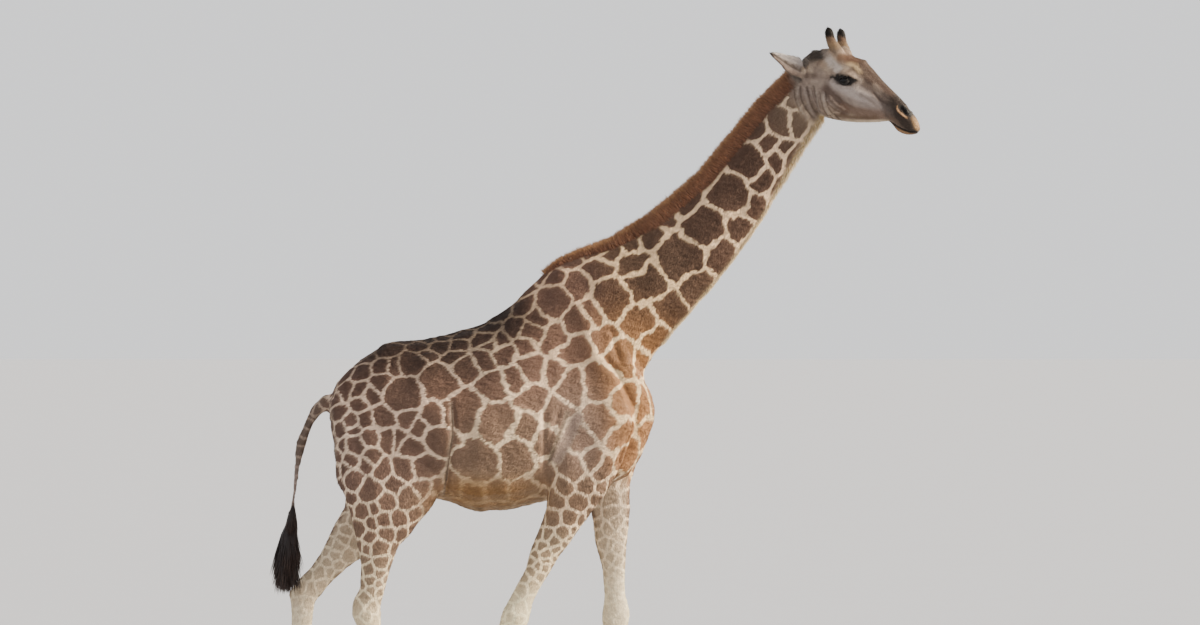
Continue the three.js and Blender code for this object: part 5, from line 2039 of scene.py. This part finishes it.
def ring_surface(rings: Sequence[Array], closed: bool = False) -> Surface:
    """A surface through rings of as many points each.

    Args:
        rings: The rings, in order.
        closed: Whether the last joins the first; otherwise both ends are closed with a fan.

    Returns:
        The surface, of triangles, facing outwards.
    """
    count = len(rings[0])
    co = np.concatenate(rings)
    faces = []
    around = np.arange(count)
    following = (around + 1) % count
    links = list(zip(range(len(rings)), range(1, len(rings))))
    if closed:
        links.append((len(rings) - 1, 0))
    for first, second in links:
        a, b = first * count + around, first * count + following
        c, d = second * count + following, second * count + around
        faces += [np.stack((a, b, c), axis=1), np.stack((a, c, d), axis=1)]
    if not closed:
        base, top = len(co), len(co) + 1
        co = np.concatenate((co, rings[0].mean(axis=0)[None], rings[-1].mean(axis=0)[None]))
        last = (len(rings) - 1) * count
        faces += [np.stack((following, around, np.full(count, base)), axis=1)]
        faces += [np.stack((last + around, last + following, np.full(count, top)), axis=1)]
    surface = Surface(co, np.concatenate(faces))
    corners = surface.co[surface.faces]
    volume = np.einsum("ij,ij->i", corners[:, 0], np.cross(corners[:, 1], corners[:, 2])).sum()
    if volume < 0:
        surface.faces = surface.faces[:, ::-1].copy()
    return surface


def outward_from(polar: float | Array, angle: float | Array) -> Array:
    """Unit vectors by their angle from the eye's own axis and their angle round it."""
    polar, angle = np.broadcast_arrays(polar, angle)
    return np.stack((np.sin(polar) * np.cos(angle), np.sin(polar) * np.sin(angle), np.cos(polar)), axis=-1)


@dataclass
class Eye:
    """One eyeball with its lids and lashes."""

    side_name: str
    lashes: int = 70
    lid: float = 0.0032  # how far the lids stand out from the ball
    pointedness: float = 1.5  # of the opening's corners

    @property
    def side(self) -> int:
        """-1 on the right, 1 on the left."""
        return SIDES[self.side_name]

    def ball(self, finish: Material) -> Object:
        """The eyeball, with its clear front bulging."""
        rings = []
        for polar in np.linspace(0.02, math.pi - 0.02, 34):
            bulge = 1 + 0.09 * float(smoothstep(0.62, 0.1, np.array(polar)))
            rings.append(outward_from(polar, turn_in(48)) * (1, 1, bulge))
        surface = ring_surface(rings)
        gaze = surface.co.copy()
        surface.co = self.placed(surface.co * EYE_RADIUS)
        if np.linalg.det(eye_frame(self.side)) < 0:
            surface.faces = surface.faces[:, ::-1].copy()
        made = surface.object(f"eyeball_{self.side_name}", finish)
        store(made.data, "gaze", gaze)
        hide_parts(f"eye_{self.side_name}")
        return made

    def placed(self, points: Array) -> Array:
        """Points of the eye's own axes in the animal's frame."""
        return points @ eye_frame(self.side) + eye_centre(self.side)

    def opening(self, angle: Array) -> Array:
        """How far from the eye's middle the lids' edge is, as an angle, all round."""
        high = np.where(np.sin(angle) > 0, 0.62, 0.5)
        power = self.pointedness
        return (np.abs(np.cos(angle) / 1.02) ** power + np.abs(np.sin(angle) / high) ** power) ** (-1 / power)

    def lids(self, finish: Material) -> Object:
        """Both lids as one closed shell round the eyeball."""
        angles = turn_in(72)
        inner = self.opening(angles)
        profile = (
            (0.0, -0.002), (0.0, 0.0014), (0.03, self.lid), (0.12, self.lid + 0.0012),
            (0.24, self.lid - 0.0002), (0.34, self.lid + 0.0016), (0.5, self.lid + 0.0008),
            (0.75, -0.002), (0.75, -0.005), (0.3, -0.004),
        )
        rings = []
        for step, rise in profile:
            polar = np.minimum(inner + step * (1 + 0.25 * np.abs(np.sin(angles))), 1.5)
            rings.append(self.placed(outward_from(polar, angles) * (EYE_RADIUS * 1.03 + rise)))
        return ring_surface(rings, closed=True).object(f"eyelids_{self.side_name}", finish)

    def lash_piece(self, finish: Material) -> Object:
        """The lashes: long on the upper lid, short on the lower."""
        draw = np.random.default_rng(4)
        locks = []
        for number in range(self.lashes):
            upper = number < self.lashes * 0.7
            angle = draw.uniform(0.25, math.pi - 0.12) if upper else draw.uniform(-2.7, -0.5)
            polar = float(self.opening(np.array(angle))) + 0.05
            root = outward_from(polar, angle) * (EYE_RADIUS + self.lid)
            length = draw.uniform(0.018, 0.027) if upper else draw.uniform(0.007, 0.012)
            fall = -0.55 if upper else -0.7
            way = unit(np.array((math.cos(angle) * 0.7 + 0.1, fall + draw.uniform(-0.15, 0.15), 0.9)))
            curl = np.array((0.25 * math.cos(angle), 0.35 if upper else 0, 0.15)) * length
            points = np.array((root, root + way * length * 0.5, root + way * length + curl))
            locks.append(spindle(self.placed(points), 0.0011))
        return joined(locks).object(f"lashes_{self.side_name}", finish)


def spindle(points: Array, width: float) -> Surface:
    """A thin three-sided hair along a few points, ending in a point."""
    rings = []
    for index, point in enumerate(points[:-1]):
        run = unit(points[index + 1] - points[max(index - 1, 0)])
        side = unit(np.cross(run, np.array((0.31, 0.2, 0.93))))
        other = np.cross(run, side)
        size = width * (1 - 0.25 * index) / 2
        angles = turn_in(3)
        rings.append(point + size * (np.cos(angles)[:, None] * side + np.sin(angles)[:, None] * other))
    rings.append(np.repeat(points[-1][None], 3, axis=0) + rings[-1] * 1e-3 - rings[-1].mean(axis=0) * 1e-3)
    return ring_surface(rings)


# The middle line of the left ossicone in the head's frame, base to tip, with its radii.
OSSICONE_PATH = (
    (0.172, 0.034, 0.07, 0.028), (0.168, 0.038, 0.104, 0.029), (0.163, 0.044, 0.134, 0.029),
    (0.156, 0.051, 0.162, 0.0275), (0.147, 0.059, 0.182, 0.0255), (0.139, 0.0665, 0.2, 0.0232),
    (0.132, 0.0725, 0.22, 0.021), (0.127, 0.076, 0.24, 0.0195), (0.125, 0.077, 0.255, 0.0185),
    (0.1225, 0.0775, 0.268, 0.015), (0.121, 0.0775, 0.275, 0.007),
)


@dataclass
class Ossicone:
    """One horn of the skull, in skin and short hair, black at its tip."""

    side_name: str
    sides: int = 40
    steps: int = 60
    foot: float = 0.07  # over the poll
    height: float = 0.2035

    def surface(self) -> Surface:
        """A fine loft along the horn's middle line."""
        side = SIDES[self.side_name]
        table = np.array(OSSICONE_PATH) * (1, side, 1, 1)
        stops = stops_of(table[:, :3])
        marks = np.linspace(0, stops[-1], self.steps)
        path = np.stack([np.interp(marks, stops, table[:, k]) for k in range(4)], axis=1)
        for _ in range(6):
            path[1:-1] += 0.5 * ((path[:-2] + path[2:]) / 2 - path[1:-1])
        rings = []
        angles = turn_in(self.sides)
        for index, (x, y, z, radius) in enumerate(path):
            run = unit(path[min(index + 1, self.steps - 1), :3] - path[max(index - 1, 0), :3])
            across = unit(np.cross(run, np.array((1.0, 0, 0))))
            other = np.cross(run, across)
            wobble = 1 + 0.025 * np.sin(angles * 3 + index * 0.2) + 0.02 * np.sin(angles * 5 - index * 0.35)
            ring = np.cos(angles)[:, None] * across + np.sin(angles)[:, None] * other
            rings.append(np.array((x, y, z)) + ring * (radius * wobble)[:, None])
        surface = ring_surface(rings)
        surface.co = from_head(surface.co)
        return surface

    def pieces(self, tree: TuftTree, blade: Object, finish: Material) -> list[Object]:
        """The horn and the hair on it."""
        surface = self.surface()
        normals = surface.normals()
        places = to_head(surface.co)
        share = (places[:, 2] - self.foot) / self.height
        run = unit(np.array((-0.055, 0.044 * SIDES[self.side_name], 0.2))) @ head_turn().T
        lie = unit(run - normals * (normals @ run)[:, None] + 0.15 * run)
        black = smoothstep(0.74, 0.86, share + 0.05 * ripples(surface.co, 0.03, 81))
        ground = tint("8f7b69") + (tint("967b5e") - tint("8f7b69")) * smoothstep(0.4, 0.6, share)[:, None]
        blend(ground, tint("6f5645"), smoothstep(0.6, 0.8, share))
        blend(ground, tint("1b1512"), black)
        none = np.zeros(len(share))
        values = {
            "ground": ground, "patch": ground, "edge": none, "tone": none, "mark": none, "place": surface.co,
            "outward": normals, "lie": lie, "fur": 0.7 + 0.1 * black, "crowd": 0.7 + 0.3 * black,
        }
        angles = np.arctan2(normals[:, 1], normals[:, 0])
        flat = np.stack(((angles + np.pi) / (2 * np.pi) * 0.45 + 0.02, share * 0.8 + 0.05), axis=1)
        corners = flat[surface.faces]
        tufts = LONG_TUFTS["ossicone_hair"]
        density = tufts.count / float(area_of(surface).sum())
        hair = tree.cover(surface, values, corners, f"ossicone_hair_{self.side_name}", Blade=blade,
                          Finish=finish, Density=density, Seed=5, **tufts.inputs())
        horn = dressed(surface, f"horn_{self.side_name}", without_hair(values), corners)
        horn.data.materials.append(finish)
        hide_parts(f"ossicone_{self.side_name}")
        return [horn, hair]


@dataclass
class Hooves:
    """The eight claws."""

    voxel: float = 0.0035
    ring_height: float = 0.0006
    ring_step: float = 0.011
    sole: float = 0.004  # what is lower than this is flat on the floor

    def pieces(self, finish: Material) -> list[Object]:
        """One object for each claw: rounded, with flat soles and faint rings."""
        made = []
        for node in sorted(name for name in frame["nodes"] if name.startswith("claw")):
            claw = remeshed(node_surface(node), self.voxel)
            claw.smooth(26)
            normals = claw.normals()
            phase = claw.co[:, 2] * 2 * np.pi / self.ring_step + 1.5 * ripples(claw.co, 0.08, 61)
            rings = self.ring_height * np.sin(phase)
            side = 1 - np.abs(normals[:, 2])
            claw.co += normals * (rings * side * smoothstep(0.006, 0.015, claw.co[:, 2]))[:, None]
            claw.co[:, 2] = np.where(claw.co[:, 2] < self.sole, 0.0, claw.co[:, 2])
            piece = triangulated(claw).object(f"hoof_{node[5:]}", finish)
            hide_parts(node)
            made.append(piece)
        return made


# ---- stage


@dataclass(frozen=True)
class Lamp:
    """A broad, soft, far light."""

    name: str
    towards: tuple[float, float, float]
    strength: float
    colour: tuple[float, float, float]
    breadth: float  # degrees

    def hang(self) -> None:
        """Adds it to the scene."""
        lamp = bpy.data.lights.new(self.name, "SUN")
        lamp.energy = self.strength
        lamp.color = self.colour
        lamp.angle = math.radians(self.breadth)
        hung = bpy.data.objects.new(self.name, lamp)
        hung.rotation_euler = Vector(self.towards).to_track_quat("-Z", "Y").to_euler()
        bpy.context.scene.collection.objects.link(hung)


LAMPS = (
    Lamp("key", (-0.92, 0.24, -0.38), 8.0, (1.0, 0.88, 0.7), 20),
    Lamp("rim", (-0.78, -0.58, -0.32), 4.5, (1.0, 0.88, 0.7), 12),
)
WORLD_COLOUR = (0.96, 0.965, 0.98)
WORLD_STRENGTH = 1.2
FLOOR_REACH = 280.0
CAMERA_REACH = 500.0


def set_stage() -> None:
    """Lays the floor, hangs the lamps and places the camera."""
    corners = np.array(((-1, -1, 0), (1, -1, 0), (1, 1, 0), (-1, 1, 0))) * FLOOR_REACH
    finish = PlainFinish("floor", "b3b5bb", 0.9, 0.5, 0.01, 0.0001).material()
    ground_piece = Surface(corners, np.array(((0, 1, 2, 3),))).object("floor", finish)
    for lamp in LAMPS:
        lamp.hang()
    world = bpy.data.worlds.new("studio")
    world.use_nodes = True
    background = world.node_tree.nodes["Background"]
    background.inputs["Color"].default_value = (*WORLD_COLOUR, 1)
    background.inputs["Strength"].default_value = WORLD_STRENGTH
    bpy.context.scene.world = world
    camera = bpy.data.cameras.new("camera")
    camera.lens = CAMERA_LENS
    camera.sensor_width = CAMERA_SENSOR
    camera.clip_end = CAMERA_REACH
    placed = bpy.data.objects.new("camera", camera)
    placed.location = CAMERA_PLACE
    placed.rotation_euler = (math.pi / 2, 0, 0)
    bpy.context.scene.collection.objects.link(placed)
    bpy.context.scene.camera = placed


def carry(pieces: Iterable[Object]) -> None:
    """Fixes pieces to the body and logs their names."""
    for piece in pieces:
        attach(piece, BODY)
        LOG.info("made %s", piece.name)


def fringe(hide: Hide, tree: TuftTree, lock: Object) -> Object:
    """The hair that hangs along the throat and the windpipe, pale gold partly as painted sunlight on its lit
    edge.
    """
    co, normals = hide.surface.co, hide.values["outward"]
    fit = fit_path(co[:, (0, 2)], THROAT_LINE)
    near = smoothstep(0.035, 0.012, fit.distance) * smoothstep(0.05, 0.02, np.abs(co[:, 1]))
    forward = unit(hide.plan.lie + 0.55 * normals + np.array((0.0, 0.0, -0.35)))
    high = 0.45 + 0.55 * smoothstep(2.75, 3.2, co[:, 2])
    changes = {"lie": forward, "fur": (0.45 + 0.55 * near) * high, "crowd": 0.3 + near}
    # the golden colours are partly painted sunlight along the throat's lit edge
    finish = HairFinish("throat hair", "c4a676", "f0e2c4", 0.65).material()
    return hide.locks(tree, "throat_fringe", near, 0.25, changes, lock, finish)


def mane_roots(hide: Hide, tree: TuftTree, lock: Object, finish: Material) -> Object:
    """The mane's hair that grows from both sides of the nape."""
    co = hide.surface.co
    height, _, along = nape_height(co)
    lie, fur = comb_mane(co)
    foot = mane_foot(along)
    near = smoothstep(-foot - 0.02, -foot + 0.012, height) * smoothstep(0.075, 0.05, np.abs(co[:, 1]))
    near = near * smoothstep(0.0, 0.06, along) * (co[:, 0] < 1.06)
    inward = sideways(-np.clip(co[:, 1] / 0.05, -1, 1))
    changes = {"lie": unit(lie + 0.45 * inward + 0.1 * hide.values["outward"]),
               "fur": np.clip(fur * (0.3 + 0.6 * near), 0.08, 1.1), "crowd": 0.25 + near}
    return hide.locks(tree, "mane_roots", near, 0.15, changes, lock, finish)


def tail_roots(hide: Hide, tree: TuftTree, lock: Object, finish: Material) -> Object:
    """The black hair that begins on the tail above its tuft."""
    co = hide.surface.co
    on_tail = (co[:, 0] < -1.45) * (np.abs(co[:, 1]) < 0.05) * (co[:, 2] > 1.35)
    near = smoothstep(1.47, 1.37, co[:, 2]) * on_tail
    down = np.array((-0.04, 0.0, -1.0)) + 0.12 * hide.values["outward"] * (1, 1, 0)
    changes = {"lie": unit(down), "fur": 0.35 + 0.65 * near, "crowd": 0.1 + near}
    return hide.locks(tree, "tail_roots", near, 0.05, changes, lock, finish)


def main() -> None:
    """Builds the giraffe, its stage, its light and its camera."""
    logging.basicConfig(level=logging.INFO, format="%(relativeCreated)d %(message)s")
    skin = Skin()
    hide = Hide.of(skin.build())
    coat_finish = CoatFinish().material()
    hide.skin.data.materials.append(CoatFinish("skin", by_face=True).material())
    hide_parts(*skin.nodes)
    carry([hide.skin])
    tree = TuftTree()
    tuft, bristle, lock = SHORT_BLADE.object(), BRISTLE.object(), LONG_BLADE.object()
    carry(hide.coat(tree, tuft, coat_finish))
    carry([fringe(hide, tree, lock)])
    mane = LongHair(tree, bristle)
    # the tips' pale gold is partly their own paler colour and partly painted sunlight along the mane's top
    mane_finish = HairFinish("mane", "56331f", "b98a60", clump=0.018, crown="75695f").material()
    root_finish = HairFinish("mane roots", "65412e", "8a5f42", clump=0.018, crown="75695f").material()
    mane.piece("mane", ("mane_lower", "mane_upper"), mane_finish, 0.006, root_mane, comb_mane)
    carry([*mane.made, mane_roots(hide, tree, bristle, root_finish)])
    tail = LongHair(tree, lock)
    tuft_finish = HairFinish("tail tuft", "1c1210", "33231c", 0.5).material()
    tail.piece("tuft", ("tail_tuft",), tuft_finish, 0.016, root_tuft, comb_tuft)
    carry([*tail.made, tail_roots(hide, tree, lock, tuft_finish)])
    eye_finish, lid_finish = EyeFinish().material(), PlainFinish("eyelid", "120d0b", 0.5).material()
    lash_finish = PlainFinish("lash", "0d0a09", 0.45).material()
    for name in SIDES:
        eye = Eye(name)
        carry([eye.ball(eye_finish)])
        carry([eye.lids(lid_finish), eye.lash_piece(lash_finish)])
        carry(Ossicone(name).pieces(tree, tuft, coat_finish))
    carry(Hooves().pieces(HornFinish().material()))
    for blade in (tuft, bristle, lock):
        bpy.data.objects.remove(blade)
    set_stage()
    LOG.info("done")


if __name__ == "__main__":
    main()
